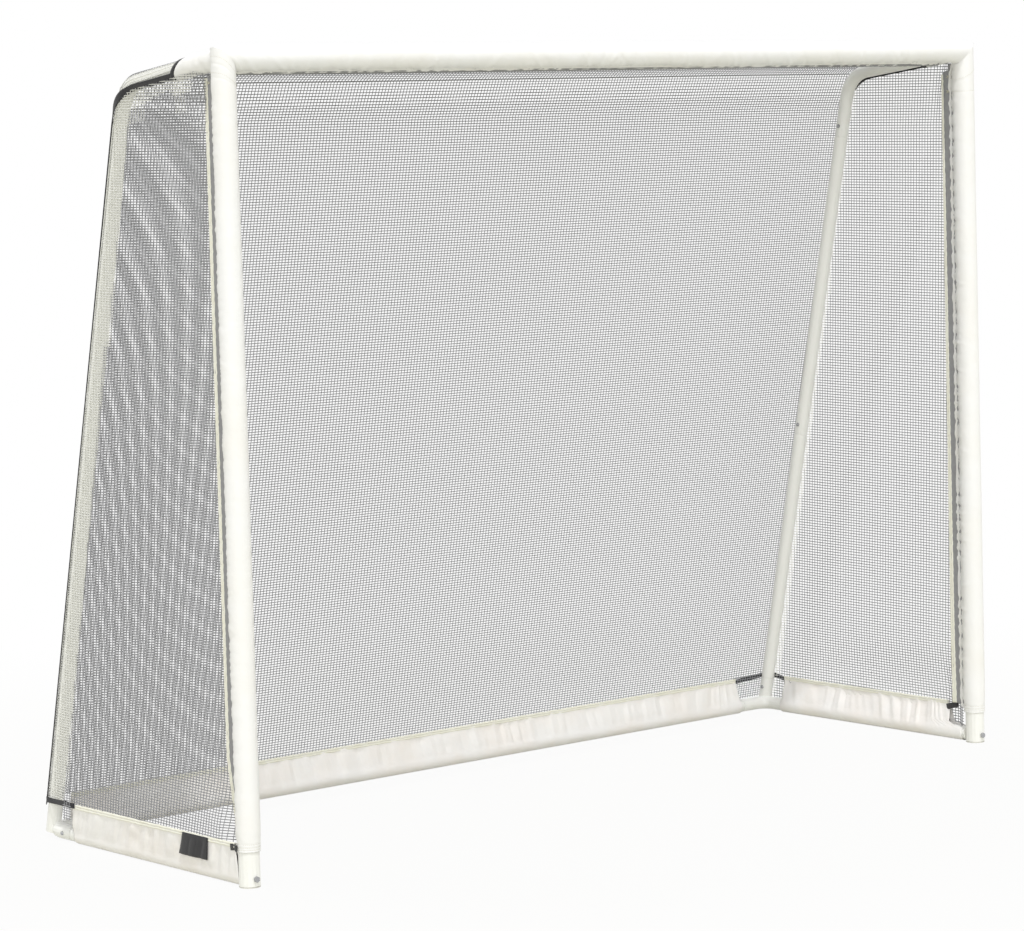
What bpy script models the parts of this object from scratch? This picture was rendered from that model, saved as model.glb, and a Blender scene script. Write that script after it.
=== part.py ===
"""Soccer goal: a take-apart steel tube frame in a sewn net with white cloth sleeves.

Metres, +Z up, origin on the ground in the middle of the goal. The mouth faces -Y, the net slopes
down towards +Y, and X runs along the crossbar. A distance called y here is measured from the plane
of the posts, and at() moves it into the goal's own frame.
"""
from math import cos, pi, radians, sin, tan

import bmesh
import bpy
from mathutils import Matrix, Vector

# Driving dimensions of the frame
HALF_WIDTH = 0.977       # post axis from the middle
BAR_HEIGHT = 1.500       # crossbar axis above the ground
DEPTH = 0.652            # back bar axis behind the posts
BEND_Y = 0.327           # where the lines of top arm and stay meet
BEND_HEIGHT = 1.460
BEND_LEAN = 0.010        # the net draws the tops of the stays in by this much
BEND_RADIUS = 0.070
FRONT_Y = -0.3225        # the posts' plane in the goal's own frame
GROUND_AXIS = 0.0165     # height of the ground tubes' axes
GAP = 0.0004             # between touching pieces
CURVE_WELD = 0.00001     # a curve's caps are loose until they are welded

# Tube sizes: (outer radius, bore radius, swaged outer radius, swaged bore radius)
POST_TUBE = (0.0200, 0.0185, 0.0182, 0.0168)
STAY_TUBE = (0.0145, 0.0133, 0.0130, 0.0118)
TUBE_SIDES = 16
SPIGOT = 0.042           # how far a swaged end goes into its socket
NECK = 0.003             # length of the swaged shoulder

# Snap buttons
BUTTON_SET_BACK = 0.022  # from the socket's rim
BUTTON_RADIUS = 0.0040
BUTTON_HOLE = 0.0044
LEAF_SIZE = (0.034, 0.009, 0.0010)
POST_BUTTON_TOP = 0.0218
STAY_BUTTON_TOP = 0.0173
POST_LEAF_TOP = 0.0158
STAY_LEAF_TOP = 0.0105

# Where the tubes part
CORNER_SOCKET = 0.100
CORNER_BORE = 0.040      # the sockets' bores start this far from the corner
ARM_BORE = 0.017         # where an arm's or a stay's bore starts
GROUND_BORE = 0.032      # where a ground tube's bore starts
BORE_RUN = 0.020         # a bore's cutter runs on past the rim
ARM_SOCKET = 0.062
POST_SPLIT = 0.730       # height of the joint in a post
STAY_TOP_SPLIT = 1.325   # heights of the joints in a stay
STAY_MID_SPLIT = 0.650
REAR_SOCKET_TOP = 0.075
GROUND_SOCKET = 0.075
FRONT_WALL = 0.0035      # the threaded wall in a side tube's front end
ELBOW_RADIUS = 0.030     # rear corner, in the ground plane

# Cloth
SLEEVE_RADIUS = 0.0234
SLEEVE_BORE = 0.0222
SLEEVE_FOOT = 0.0640     # the post sleeve's cuff ends here
CUFF_START = 0.010       # the arm cuff, along the top arm
CUFF_RADIUS = 0.0198
CUFF_BORE = 0.0182
CUFF_END_TOP = 0.122     # the cuff is cut on a slant, longer underneath
CUFF_END_LOW = 0.160
FLANGE_IN = 0.0040       # closing flange behind a post, inward from the post axis
FLANGE_START = 0.0160    # behind the axis
FLANGE_END = 0.0600
FLANGE_FOOT_END = 0.0330 # the flange narrows towards its foot
FLANGE_FOOT = 0.0840
FLANGE_KNEE = 0.2300     # full width from this height up
FLANGE_HEAD = 1.4640
FLANGE_THICK = 0.0020
FLANGE_LAP = 0.0005      # the flange stops this far inside its binding
BINDING_WIDTH = 0.0100
BINDING_THICK = 0.0036
BAR_FLANGE_END = 0.0520
BAR_FLANGE_DROP = radians(22)
BAR_FLANGE_INSET = 0.032 # short of the post axes
SKIRT_TOP = 0.0700
SKIRT_WALL = 0.0010
SIDE_SKIRT_END = 0.060   # short of the rear corner
BACK_SKIRT_END = 0.090
SIDE_FLAP = 0.0170       # the flap's top, outward from the ground tube's axis
BACK_FLAP = 0.0035
SLEEVE_GAP = 0.0015      # between a side skirt's front end and the post's sleeve
FLAP_TRIM = (0.030, 0.080, 0.060)  # trims a flap's end: along the skirt, across it and up
FLAP_TRIM_HEIGHT = 0.066
FLAP_TRIM_SHIFT = 0.004
SIDE_TRIM_LEAN = radians(-8)
BACK_TRIM_LEAN = radians(12)

# Net, tape and straps
NET_OFFSET = 0.0172      # net outside the tubes' axes
NET_EDGE = 0.0020
NET_STRAND = 0.0024
NET_BOTTOM = 0.0815
NET_CLEARANCE = 0.0030   # between a cloth edge and the net sewn to it
ROOF_START = 0.0580
ROOF_FRONT_DROP = 0.0240 # the roof's front edge hangs at the crossbar's flange
EDGE_STRIP = 0.0265      # width of the outermost column of the roof and back
ARM_SEAM = radians(-38)  # round the tube, from straight out sideways towards the top or back
STAY_SEAM = radians(46)
SIDE_EDGE_SHIFT = radians(-38)  # the side net ends this far short of the seam's middle
SIDE_EDGE_RADIUS = 0.0222
TAPE_HALF_WIDTH = 0.0065
TAPE_RADIUS = 0.0180
WEBBING = 0.0012
STRAP_HALF_WIDTH = 0.0060
STRAP_STAY_HEIGHT = 0.068  # round the stay's foot
STRAP_END_HEIGHT = 0.060
STRAP_LAP = 0.012        # onto the skirts
STRAP_STAND_OFF = 0.0026
ROOF_BEND_END = 0.47     # roof and back part where the bend has turned about half way
BACK_BEND_START = 0.53

# Foot bolt
BOLT_RADIUS = 0.0030
BOLT_HOLE = 0.0034
BOLT_HEAD_RADIUS = 0.0058
BOLT_HEAD = 0.0040
BOLT_TIP = 0.0300
PLUG_FLANGE = 0.0022
PLUG_TOP = 0.0090

SIDES = (("left", -1), ("right", 1))
X_AXIS = Vector((1, 0, 0))
Y_AXIS = Vector((0, 1, 0))
Z_AXIS = Vector((0, 0, 1))

for old in list(bpy.data.objects):
    bpy.data.objects.remove(old, do_unlink=True)
goal = bpy.data.collections.new("soccer_goal")
bpy.context.scene.collection.children.link(goal)


def at(x, y, z):
    """A point given from the plane of the posts, in the goal's own frame."""
    return Vector((x, y + FRONT_Y, z))


def material(name, colour, roughness, metallic=0.0):
    made = bpy.data.materials.new(name)
    made.use_nodes = True
    shader = made.node_tree.nodes["Principled BSDF"]
    shader.inputs["Base Color"].default_value = (*colour, 1.0)
    shader.inputs["Roughness"].default_value = roughness
    shader.inputs["Metallic"].default_value = metallic
    return made


WHITE_TUBE = material("white_coated_steel", (0.86, 0.86, 0.82), 0.35)
ZINC = material("zinc_plated_steel", (0.62, 0.62, 0.60), 0.30, 1.0)
CLOTH = material("white_coated_cloth", (0.90, 0.90, 0.87), 0.55)
NET_CORD = material("grey_net_cord", (0.12, 0.12, 0.13), 0.70)
BLACK_WEB = material("black_webbing", (0.02, 0.02, 0.02), 0.80)
WHITE_PLASTIC = material("white_plastic", (0.85, 0.85, 0.82), 0.45)


def finish(obj, name, look):
    """Name the piece, give it its material and smooth its round sides."""
    obj.name = name
    obj.data.name = name
    obj.data.materials.clear()
    obj.data.materials.append(look)
    obj.data.shade_smooth()
    obj.data.set_sharp_from_angle(angle=radians(35))
    return obj


def as_object(name, mesh):
    obj = bpy.data.objects.new(name, mesh)
    goal.objects.link(obj)
    return obj


def from_bmesh(name, bm):
    mesh = bpy.data.meshes.new(name)
    bm.to_mesh(mesh)
    bm.free()
    return as_object(name, mesh)


def settled(obj, weld=0.0000002):
    """Replace an object by its evaluated mesh, with points closer than weld made one."""
    bpy.context.view_layer.update()
    graph = bpy.context.evaluated_depsgraph_get()
    mesh = bpy.data.meshes.new_from_object(obj.evaluated_get(graph))
    bm = bmesh.new()
    bm.from_mesh(mesh)
    bmesh.ops.remove_doubles(bm, verts=bm.verts, dist=weld)
    bm.to_mesh(mesh)
    bm.free()
    made = as_object(obj.name + "_solid", mesh)
    made.matrix_world = obj.matrix_world.copy()
    bpy.data.objects.remove(obj, do_unlink=True)
    return made


def boolean(obj, others, operation):
    """Cut or join solids into obj, and drop them."""
    for other in others:
        step = obj.modifiers.new("solid", "BOOLEAN")
        step.operation = operation
        step.solver = "EXACT"
        step.object = other
    made = settled(obj)
    for other in others:
        bpy.data.objects.remove(other, do_unlink=True)
    return made


def cut(obj, *others):
    return boolean(obj, others, "DIFFERENCE")


def join(obj, *others):
    return boolean(obj, others, "UNION")


def rod(start, end, radius, sides=TUBE_SIDES):
    """A solid cylinder from start to end."""
    axis = end - start
    bm = bmesh.new()
    bmesh.ops.create_cone(bm, cap_ends=True, segments=sides, radius1=radius, radius2=radius,
                          depth=axis.length)
    obj = from_bmesh("rod", bm)
    turn = axis.to_track_quat("Z", "Y").to_matrix().to_4x4()
    obj.matrix_world = Matrix.Translation((start + end) / 2) @ turn
    return obj


def ball(centre, radius):
    bm = bmesh.new()
    bmesh.ops.create_uvsphere(bm, u_segments=TUBE_SIDES, v_segments=10, radius=radius)
    obj = from_bmesh("ball", bm)
    obj.location = centre
    return obj


def block(centre, size, turn=None):
    """A box of the given size, turned by a matrix where one is given."""
    bm = bmesh.new()
    bmesh.ops.create_cube(bm, size=1.0)
    bmesh.ops.scale(bm, vec=size, verts=bm.verts)
    obj = from_bmesh("block", bm)
    obj.matrix_world = Matrix.Translation(centre) @ (turn or Matrix.Identity(4))
    return obj


def swept(points, radii, caps):
    """A round bar or skin along points, its radius changing from point to point."""
    curve = bpy.data.curves.new("path", "CURVE")
    curve.dimensions = "3D"
    curve.bevel_depth = 1.0
    curve.bevel_resolution = (TUBE_SIDES - 4) // 2
    curve.use_fill_caps = caps
    spline = curve.splines.new("POLY")
    spline.points.add(len(points) - 1)
    for knot, place, radius in zip(spline.points, points, radii):
        knot.co = (*place, 1.0)
        knot.radius = radius
    return settled(as_object("sweep", curve), CURVE_WELD)


def tube(points, sizes, swage_start=False, swage_end=False):
    """A hollow tube along points; a swaged end is drawn thinner and runs on into its socket."""
    outer, bore, thin, thin_bore = sizes
    path = list(points)
    radii = [outer] * len(path)
    if swage_start:
        along = (path[0] - path[1]).normalized()
        first = path[0]
        path[0] = first - along * (NECK + GAP)
        path[:0] = [first + along * SPIGOT, first - along * GAP]
        radii[:0] = [thin, thin]
    if swage_end:
        along = (path[-1] - path[-2]).normalized()
        last = path[-1]
        path[-1] = last - along * (NECK + GAP)
        path += [last - along * GAP, last + along * SPIGOT]
        radii += [thin, thin]
    skin = swept(path, radii, caps=False)
    wall = skin.modifiers.new("wall", "SOLIDIFY")
    wall.thickness = outer - bore
    wall.offset = -1.0
    return settled(skin)


def arc(start, corner, end, radius, steps):
    """Points of a bend of the given radius between two straight runs, and its two tangents."""
    back = (start - corner).normalized()
    on = (end - corner).normalized()
    half = back.angle(on) / 2
    run = radius / tan(half)
    centre = corner + (back + on).normalized() * (radius / sin(half))
    first = corner + back * run - centre
    last = corner + on * run - centre
    sweep = first.angle(last)
    points = []
    for step in range(steps + 1):
        share = step / steps
        mixed = first * sin((1 - share) * sweep) + last * sin(share * sweep)
        points.append(centre + mixed / sin(sweep))
    return points


def post_top(side):
    return at(side * HALF_WIDTH, 0, BAR_HEIGHT)


def bend_corner(side):
    return at(side * (HALF_WIDTH - BEND_LEAN), BEND_Y, BEND_HEIGHT)


def rear_corner(side):
    return at(side * HALF_WIDTH, DEPTH, GROUND_AXIS)


def arm_direction(side):
    return (bend_corner(side) - post_top(side)).normalized()


def stay_direction(side):
    """Down the stay, from the bend to the rear corner."""
    return (rear_corner(side) - bend_corner(side)).normalized()


def stay_point(side, height):
    """The point of a stay's axis at a height."""
    down = stay_direction(side)
    return bend_corner(side) + down * ((height - BEND_HEIGHT) / down.z)


# Snap joints: name, point on the socket's rim, way into the socket, way the button faces, tube sizes
def snap_joints():
    joints = []
    bar = Vector((0, 0, BAR_HEIGHT)) + Y_AXIS * FRONT_Y
    back = Vector((0, 0, GROUND_AXIS)) + Y_AXIS * (FRONT_Y + DEPTH)
    joints.append(("crossbar_middle", bar, -X_AXIS, Y_AXIS, POST_TUBE))
    joints.append(("back_bar_middle", back, -X_AXIS, Z_AXIS, STAY_TUBE))
    for word, side in SIDES:
        inward = -side * X_AXIS
        arm = arm_direction(side)
        down = stay_direction(side)
        rear = rear_corner(side)
        in_stay = (inward - down * inward.dot(down)).normalized()
        in_arm = (inward - arm * inward.dot(arm)).normalized()
        joints += [
            ("crossbar_" + word, post_top(side) + inward * CORNER_SOCKET, -inward, Y_AXIS, POST_TUBE),
            ("post_top_" + word, post_top(side) - Z_AXIS * CORNER_SOCKET, Z_AXIS, Y_AXIS, POST_TUBE),
            ("post_middle_" + word, at(side * HALF_WIDTH, 0, POST_SPLIT), Z_AXIS, Y_AXIS, POST_TUBE),
            ("arm_" + word, post_top(side) + arm * ARM_SOCKET, -arm, in_arm, STAY_TUBE),
            ("stay_top_" + word, stay_point(side, STAY_TOP_SPLIT), -down, in_stay, STAY_TUBE),
            ("stay_middle_" + word, stay_point(side, STAY_MID_SPLIT), -down, in_stay, STAY_TUBE),
            ("stay_foot_" + word, stay_point(side, REAR_SOCKET_TOP), down, in_stay, STAY_TUBE),
            ("side_tube_" + word, rear - Y_AXIS * GROUND_SOCKET, Y_AXIS, -inward, STAY_TUBE),
            ("back_bar_" + word, rear + inward * GROUND_SOCKET, -inward, Y_AXIS, STAY_TUBE),
        ]
    return joints


JOINTS = {joint[0]: joint for joint in snap_joints()}


def button_seat(name):
    """Where a button's axis crosses its tube's axis."""
    rim, into = JOINTS[name][1:3]
    return rim + into * BUTTON_SET_BACK


def drilled(obj, *names):
    """Drill the snap-button holes of the named joints through one wall."""
    holes = []
    for name in names:
        facing, sizes = JOINTS[name][3:]
        seat = button_seat(name)
        through = seat + facing * (sizes[0] + 0.010)
        holes.append(rod(seat + facing * 0.005, through, BUTTON_HOLE, 10))
    return cut(obj, *holes)


# Frame: top corners, posts and crossbar
def top_corner(word, side):
    """Three-way corner: sockets for the post, the crossbar and the top arm."""
    corner = post_top(side)
    inward = -side * X_AXIS
    arm = arm_direction(side)
    outer, bore = POST_TUBE[:2]
    body = rod(corner, corner - Z_AXIS * CORNER_SOCKET, outer)
    body = join(body, ball(corner, outer + 0.0004))
    body = join(body, rod(corner, corner + inward * CORNER_SOCKET, outer))
    body = join(body, rod(corner, corner + arm * ARM_SOCKET, STAY_TUBE[0]))
    body = cut(
        body,
        rod(corner - Z_AXIS * CORNER_BORE, corner - Z_AXIS * (CORNER_SOCKET + BORE_RUN), bore),
        rod(corner + inward * CORNER_BORE, corner + inward * (CORNER_SOCKET + BORE_RUN), bore),
        rod(corner + arm * ARM_BORE, corner + arm * (ARM_SOCKET + BORE_RUN), STAY_TUBE[1]),
    )
    body = drilled(body, "crossbar_" + word, "post_top_" + word, "arm_" + word)
    finish(body, "top_corner_" + word, WHITE_TUBE)


def posts(word, side):
    foot = at(side * HALF_WIDTH, 0, PLUG_FLANGE + GAP)
    split = at(side * HALF_WIDTH, 0, POST_SPLIT)
    rim = post_top(side) - Z_AXIS * CORNER_SOCKET
    lower = tube([foot, split], POST_TUBE, swage_end=True)
    lower = drilled(lower, "post_middle_" + word)
    bolt_line = at(side * HALF_WIDTH, 0, GROUND_AXIS)
    reach = Y_AXIS * (POST_TUBE[0] + 0.010)
    lower = cut(lower, rod(bolt_line - reach, bolt_line + reach, BOLT_HOLE, 12))
    finish(lower, "post_lower_" + word, WHITE_TUBE)
    upper = tube([split, rim], POST_TUBE, swage_end=True)
    upper = drilled(upper, "post_middle_" + word, "post_top_" + word)
    finish(upper, "post_upper_" + word, WHITE_TUBE)


def long_bar(name, left, middle, right, sizes):
    """A bar in two lengths: the right one's swaged end goes into the left one."""
    first = tube([left, middle], sizes, swage_start=True)
    first = drilled(first, name + "_left", name + "_middle")
    finish(first, name + "_tube_left", WHITE_TUBE)
    second = tube([middle, right], sizes, swage_start=True, swage_end=True)
    second = drilled(second, name + "_middle", name + "_right")
    finish(second, name + "_tube_right", WHITE_TUBE)


def crossbar():
    long_bar("crossbar", JOINTS["crossbar_left"][1], JOINTS["crossbar_middle"][1],
             JOINTS["crossbar_right"][1], POST_TUBE)


def back_bar():
    long_bar("back_bar", JOINTS["back_bar_left"][1], JOINTS["back_bar_middle"][1],
             JOINTS["back_bar_right"][1], STAY_TUBE)


# Frame: top arms, stays and the ground
def arm_bend_points(side, steps=7):
    return arc(post_top(side), bend_corner(side), rear_corner(side), BEND_RADIUS, steps)


def arm_and_stays(word, side):
    rim = JOINTS["arm_" + word][1]
    top = JOINTS["stay_top_" + word][1]
    middle = JOINTS["stay_middle_" + word][1]
    foot = JOINTS["stay_foot_" + word][1]
    arm = tube([rim, *arm_bend_points(side), top], STAY_TUBE, swage_start=True)
    arm = drilled(arm, "arm_" + word, "stay_top_" + word)
    finish(arm, "top_arm_" + word, WHITE_TUBE)
    upper = tube([top, middle], STAY_TUBE, swage_start=True)
    upper = drilled(upper, "stay_top_" + word, "stay_middle_" + word)
    finish(upper, "stay_upper_" + word, WHITE_TUBE)
    lower = tube([middle, foot], STAY_TUBE, swage_start=True, swage_end=True)
    lower = drilled(lower, "stay_middle_" + word, "stay_foot_" + word)
    finish(lower, "stay_lower_" + word, WHITE_TUBE)


def rear_fitting(word, side):
    """Three-way rear corner: an elbow in the ground plane with the stay's socket on it."""
    corner = rear_corner(side)
    inward = -side * X_AXIS
    down = stay_direction(side)
    outer, bore = STAY_TUBE[:2]
    side_rim = corner - Y_AXIS * GROUND_SOCKET
    back_rim = corner + inward * GROUND_SOCKET
    route = [side_rim, *arc(side_rim, corner, back_rim, ELBOW_RADIUS, 6), back_rim]
    body = swept(route, [outer] * len(route), caps=True)
    rim = JOINTS["stay_foot_" + word][1]
    body = join(body, rod(rim, corner + down * 0.004, outer))
    body = cut(
        body,
        rod(corner - Y_AXIS * GROUND_BORE, corner - Y_AXIS * (GROUND_SOCKET + BORE_RUN), bore),
        rod(corner + inward * GROUND_BORE, corner + inward * (GROUND_SOCKET + BORE_RUN), bore),
        rod(corner - down * ARM_BORE, corner - down * (REAR_SOCKET_TOP + BORE_RUN), bore),
    )
    body = drilled(body, "stay_foot_" + word, "side_tube_" + word, "back_bar_" + word)
    finish(body, "rear_corner_" + word, WHITE_TUBE)


def side_ground_tube(word, side):
    """Ground tube with a threaded wall at its front end, which the foot bolt pulls to the post."""
    rim = JOINTS["side_tube_" + word][1]
    front = at(side * HALF_WIDTH, POST_TUBE[0] + GAP, GROUND_AXIS)
    body = tube([front, rim], STAY_TUBE, swage_end=True)
    wall = rod(front, front + Y_AXIS * FRONT_WALL, STAY_TUBE[0] - 0.0003)
    body = join(body, wall)
    reach = Y_AXIS * (FRONT_WALL + 0.005)
    body = cut(body, rod(front - reach, front + reach, BOLT_HOLE, 12))
    body = drilled(body, "side_tube_" + word)
    finish(body, "side_tube_" + word, WHITE_TUBE)


def foot_bolt(word, side):
    """Hexagon bolt through the post's foot."""
    line = at(side * HALF_WIDTH, 0, GROUND_AXIS)
    head_back = line - Y_AXIS * (POST_TUBE[0] + GAP)
    head = rod(head_back - Y_AXIS * BOLT_HEAD, head_back, BOLT_HEAD_RADIUS, 6)
    shank = rod(head_back - Y_AXIS * 0.001, line + Y_AXIS * BOLT_TIP, BOLT_RADIUS, 12)
    finish(join(head, shank), "foot_bolt_" + word, ZINC)


def foot_plug(word, side):
    """Moulded plug under the post: a disc that the post stands on and a short stem."""
    foot = at(side * HALF_WIDTH, 0, 0)
    disc = rod(foot, foot + Z_AXIS * PLUG_FLANGE, POST_TUBE[0])
    stem = rod(foot + Z_AXIS * 0.001, foot + Z_AXIS * PLUG_TOP, POST_TUBE[1] - GAP)
    finish(join(disc, stem), "foot_plug_" + word, WHITE_PLASTIC)


# Snap buttons
def button_mesh(name, top, leaf_top):
    """A domed pin on its spring leaf; local Z is the way it faces, local X runs along the tube."""
    profile = [(0, top), (0.0022, top - 0.0003), (0.0034, top - 0.0010),
               (BUTTON_RADIUS, top - 0.0022), (BUTTON_RADIUS, leaf_top - 0.0005),
               (0, leaf_top - 0.0005)]
    bm = bmesh.new()
    corners = [bm.verts.new((x, 0, z)) for x, z in profile]
    for first, second in zip(corners, corners[1:]):
        bm.edges.new((first, second))
    pin = from_bmesh(name, bm)
    turn = pin.modifiers.new("turned", "SCREW")
    turn.steps = 10
    turn.render_steps = 10
    turn.use_merge_vertices = True
    turn.merge_threshold = 0.00001
    pin = settled(pin)
    leaf = block(Vector((0, 0, leaf_top - LEAF_SIZE[2] / 2)), LEAF_SIZE)
    made = join(pin, leaf)
    mesh = made.data
    bpy.data.objects.remove(made, do_unlink=True)
    return mesh


def snap_buttons():
    meshes = {
        POST_TUBE: button_mesh("post_button", POST_BUTTON_TOP, POST_LEAF_TOP),
        STAY_TUBE: button_mesh("stay_button", STAY_BUTTON_TOP, STAY_LEAF_TOP),
    }
    for name, _rim, into, facing, sizes in JOINTS.values():
        button = as_object("button_" + name, meshes[sizes])
        across = facing.cross(into)
        turn = Matrix((into, across, facing)).transposed().to_4x4()
        button.matrix_world = Matrix.Translation(button_seat(name)) @ turn
        if not button.data.materials:
            finish(button, "button_" + name, ZINC)


# Cloth sleeves on the mouth of the goal
def half_space(side, gap, keep_post):
    """A big wedge on one side of the mitre through a top corner, to be cut away."""
    corner = post_top(side)
    size = 0.20
    outward_down = (side * X_AXIS - Z_AXIS).normalized()
    turn = Matrix.Rotation(side * pi / 4, 4, "Y")
    away = -outward_down if keep_post else outward_down
    return block(corner + away * (size / 2 - gap), (size, size, size), turn)


def arm_hole(side):
    corner = post_top(side)
    arm = arm_direction(side)
    return rod(corner - arm * 0.001, corner + arm * 0.060, CUFF_BORE)


def upright_sheet(x, outline, thick):
    """A flat piece of cloth that stands along the goal: its outline is given as (y, z)."""
    curve = bpy.data.curves.new("sheet", "CURVE")
    curve.dimensions = "2D"
    curve.fill_mode = "BOTH"
    curve.extrude = thick / 2
    spline = curve.splines.new("POLY")
    spline.points.add(len(outline) - 1)
    spline.use_cyclic_u = True
    for knot, (y, z) in zip(spline.points, outline):
        knot.co = (y, z, 0.0, 1.0)
    obj = as_object("sheet", curve)
    turn = Matrix((Y_AXIS, Z_AXIS, X_AXIS)).transposed().to_4x4()
    obj.matrix_world = Matrix.Translation(at(x, 0, 0)) @ turn
    return settled(obj, CURVE_WELD)


def post_flange(side):
    """The sleeve's closing flange and the flat binding over its edge, both narrower at the foot."""
    x = side * (HALF_WIDTH - FLANGE_IN)
    edge = [(FLANGE_FOOT_END, FLANGE_FOOT), (FLANGE_END, FLANGE_KNEE), (FLANGE_END, FLANGE_HEAD)]
    front = [(FLANGE_START, FLANGE_HEAD - FLANGE_LAP), (FLANGE_START, FLANGE_FOOT + FLANGE_LAP)]
    inner = [(y - BINDING_WIDTH, z) for y, z in reversed(edge)]
    return (upright_sheet(x, [(y - FLANGE_LAP, z) for y, z in edge] + front, FLANGE_THICK),
            upright_sheet(x, edge + inner, BINDING_THICK))


def post_sleeve(word, side):
    """Cloth tube on the post, mitred at the top, with its closing flange and binding behind."""
    foot = at(side * HALF_WIDTH, 0, SLEEVE_FOOT)
    top = post_top(side) + Z_AXIS * 0.030
    body = rod(foot, top, SLEEVE_RADIUS, 24)
    flange, binding = post_flange(side)
    body = join(body, flange)
    body = join(body, binding)
    body = cut(body, rod(foot - Z_AXIS * 0.01, top + Z_AXIS * 0.01, SLEEVE_BORE, 24))
    body = cut(body, half_space(side, GAP / 2, keep_post=True))
    body = cut(body, arm_hole(side))
    finish(body, "post_sleeve_" + word, CLOTH)


def crossbar_sleeve():
    """Cloth tube on the crossbar, with a flange behind and below that the roof net hangs from."""
    reach = HALF_WIDTH + 0.030
    body = rod(at(-reach, 0, BAR_HEIGHT), at(reach, 0, BAR_HEIGHT), SLEEVE_RADIUS, 24)
    back = Vector((0, cos(BAR_FLANGE_DROP), -sin(BAR_FLANGE_DROP)))
    middle = at(0, 0, BAR_HEIGHT) + back * ((FLANGE_START + BAR_FLANGE_END) / 2)
    size = (2 * (HALF_WIDTH - BAR_FLANGE_INSET), BAR_FLANGE_END - FLANGE_START, FLANGE_THICK)
    body = join(body, block(middle, size, Matrix.Rotation(-BAR_FLANGE_DROP, 4, "X")))
    body = cut(body, rod(at(-reach - 0.01, 0, BAR_HEIGHT), at(reach + 0.01, 0, BAR_HEIGHT),
                         SLEEVE_BORE, 24))
    for _word, side in SIDES:
        body = cut(body, half_space(side, GAP / 2, keep_post=False))
        body = cut(body, arm_hole(side))
    finish(body, "crossbar_sleeve", CLOTH)


def arm_cuff(word, side):
    """The sleeve's return along the top arm, saddled to the other sleeves and cut on a slant."""
    corner = post_top(side)
    arm = arm_direction(side)
    up = X_AXIS.cross(arm).normalized()
    body = rod(corner + arm * CUFF_START, corner + arm * (CUFF_END_LOW + 0.01), CUFF_RADIUS, 24)
    body = cut(body, rod(corner, corner + arm * (CUFF_END_LOW + 0.02), CUFF_BORE, 24))
    clear = SLEEVE_RADIUS + GAP
    body = cut(body, rod(corner - Z_AXIS * 0.10, corner + Z_AXIS * 0.06, clear, 24))
    body = cut(body, rod(corner - X_AXIS * 0.10, corner + X_AXIS * 0.10, clear, 24))
    slant = (arm * (2 * CUFF_RADIUS) + up * (CUFF_END_LOW - CUFF_END_TOP)).normalized()
    size = 0.10
    end = corner + arm * ((CUFF_END_TOP + CUFF_END_LOW) / 2) + slant * (size / 2)
    turn = slant.to_track_quat("Z", "X").to_matrix().to_4x4()
    body = cut(body, block(end, (size, size, size), turn))
    finish(body, "arm_cuff_" + word, CLOTH)


# Skirts on the ground tubes
def skirt_pocket(wall_in):
    """Outer and inner side of the pocket round the tube, from its flat bottom up to the flap."""
    reach = (GROUND_AXIS - wall_in) / cos(radians(15))

    def side_of(degrees):
        return [(reach * cos(radians(a)), GROUND_AXIS + reach * sin(radians(a))) for a in degrees]

    return side_of((-75, -45, -15, 15)), side_of((135, 165, 195, 225, 255))


def skirt(name, flap, start, along, outward, length):
    """One skirt: its section is drawn outward and up, and run along the ground tube."""
    right, left = skirt_pocket(0.0)
    bead = [(flap + 0.0015, SKIRT_TOP), (flap + 0.0032, SKIRT_TOP + 0.002),
            (flap + 0.0032, SKIRT_TOP + 0.006), (flap, SKIRT_TOP + 0.008),
            (flap - 0.0032, SKIRT_TOP + 0.006), (flap - 0.0032, SKIRT_TOP + 0.002),
            (flap - 0.0015, SKIRT_TOP)]
    outer = right + bead + left
    right, left = skirt_pocket(SKIRT_WALL)
    inner = right + [(flap * 0.92, SKIRT_TOP - 0.018)] + left
    curve = bpy.data.curves.new(name, "CURVE")
    curve.dimensions = "2D"
    curve.fill_mode = "BOTH"
    curve.extrude = length / 2
    for outline in (outer, inner):
        spline = curve.splines.new("POLY")
        spline.points.add(len(outline) - 1)
        spline.use_cyclic_u = True
        for knot, (u, z) in zip(spline.points, outline):
            knot.co = (u, z, 0.0, 1.0)
    obj = as_object(name, curve)
    turn = Matrix((outward, Z_AXIS, outward.cross(Z_AXIS))).transposed().to_4x4()
    obj.matrix_world = Matrix.Translation(start + along * (length / 2)) @ turn
    return settled(obj, CURVE_WELD)


def skirts():
    run, across, tall = FLAP_TRIM
    for word, side in SIDES:
        first = SLEEVE_RADIUS + SLEEVE_GAP
        length = DEPTH - SIDE_SKIRT_END - first
        body = skirt("side_skirt", SIDE_FLAP, at(side * HALF_WIDTH, first, 0), Y_AXIS,
                     side * X_AXIS, length)
        window = block(at(side * HALF_WIDTH, first + FLAP_TRIM_SHIFT, FLAP_TRIM_HEIGHT),
                       (across, run, tall), Matrix.Rotation(SIDE_TRIM_LEAN, 4, "X"))
        finish(cut(body, window), "side_skirt_" + word, CLOTH)
    reach = HALF_WIDTH - BACK_SKIRT_END
    body = skirt("back_skirt", BACK_FLAP, at(-reach, DEPTH, 0), X_AXIS, Y_AXIS, 2 * reach)
    for _word, side in SIDES:
        edge = block(at(side * (reach + FLAP_TRIM_SHIFT), DEPTH, FLAP_TRIM_HEIGHT),
                     (run, across, tall), Matrix.Rotation(side * BACK_TRIM_LEAN, 4, "Y"))
        body = cut(body, edge)
    finish(body, "back_skirt", CLOTH)


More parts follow.
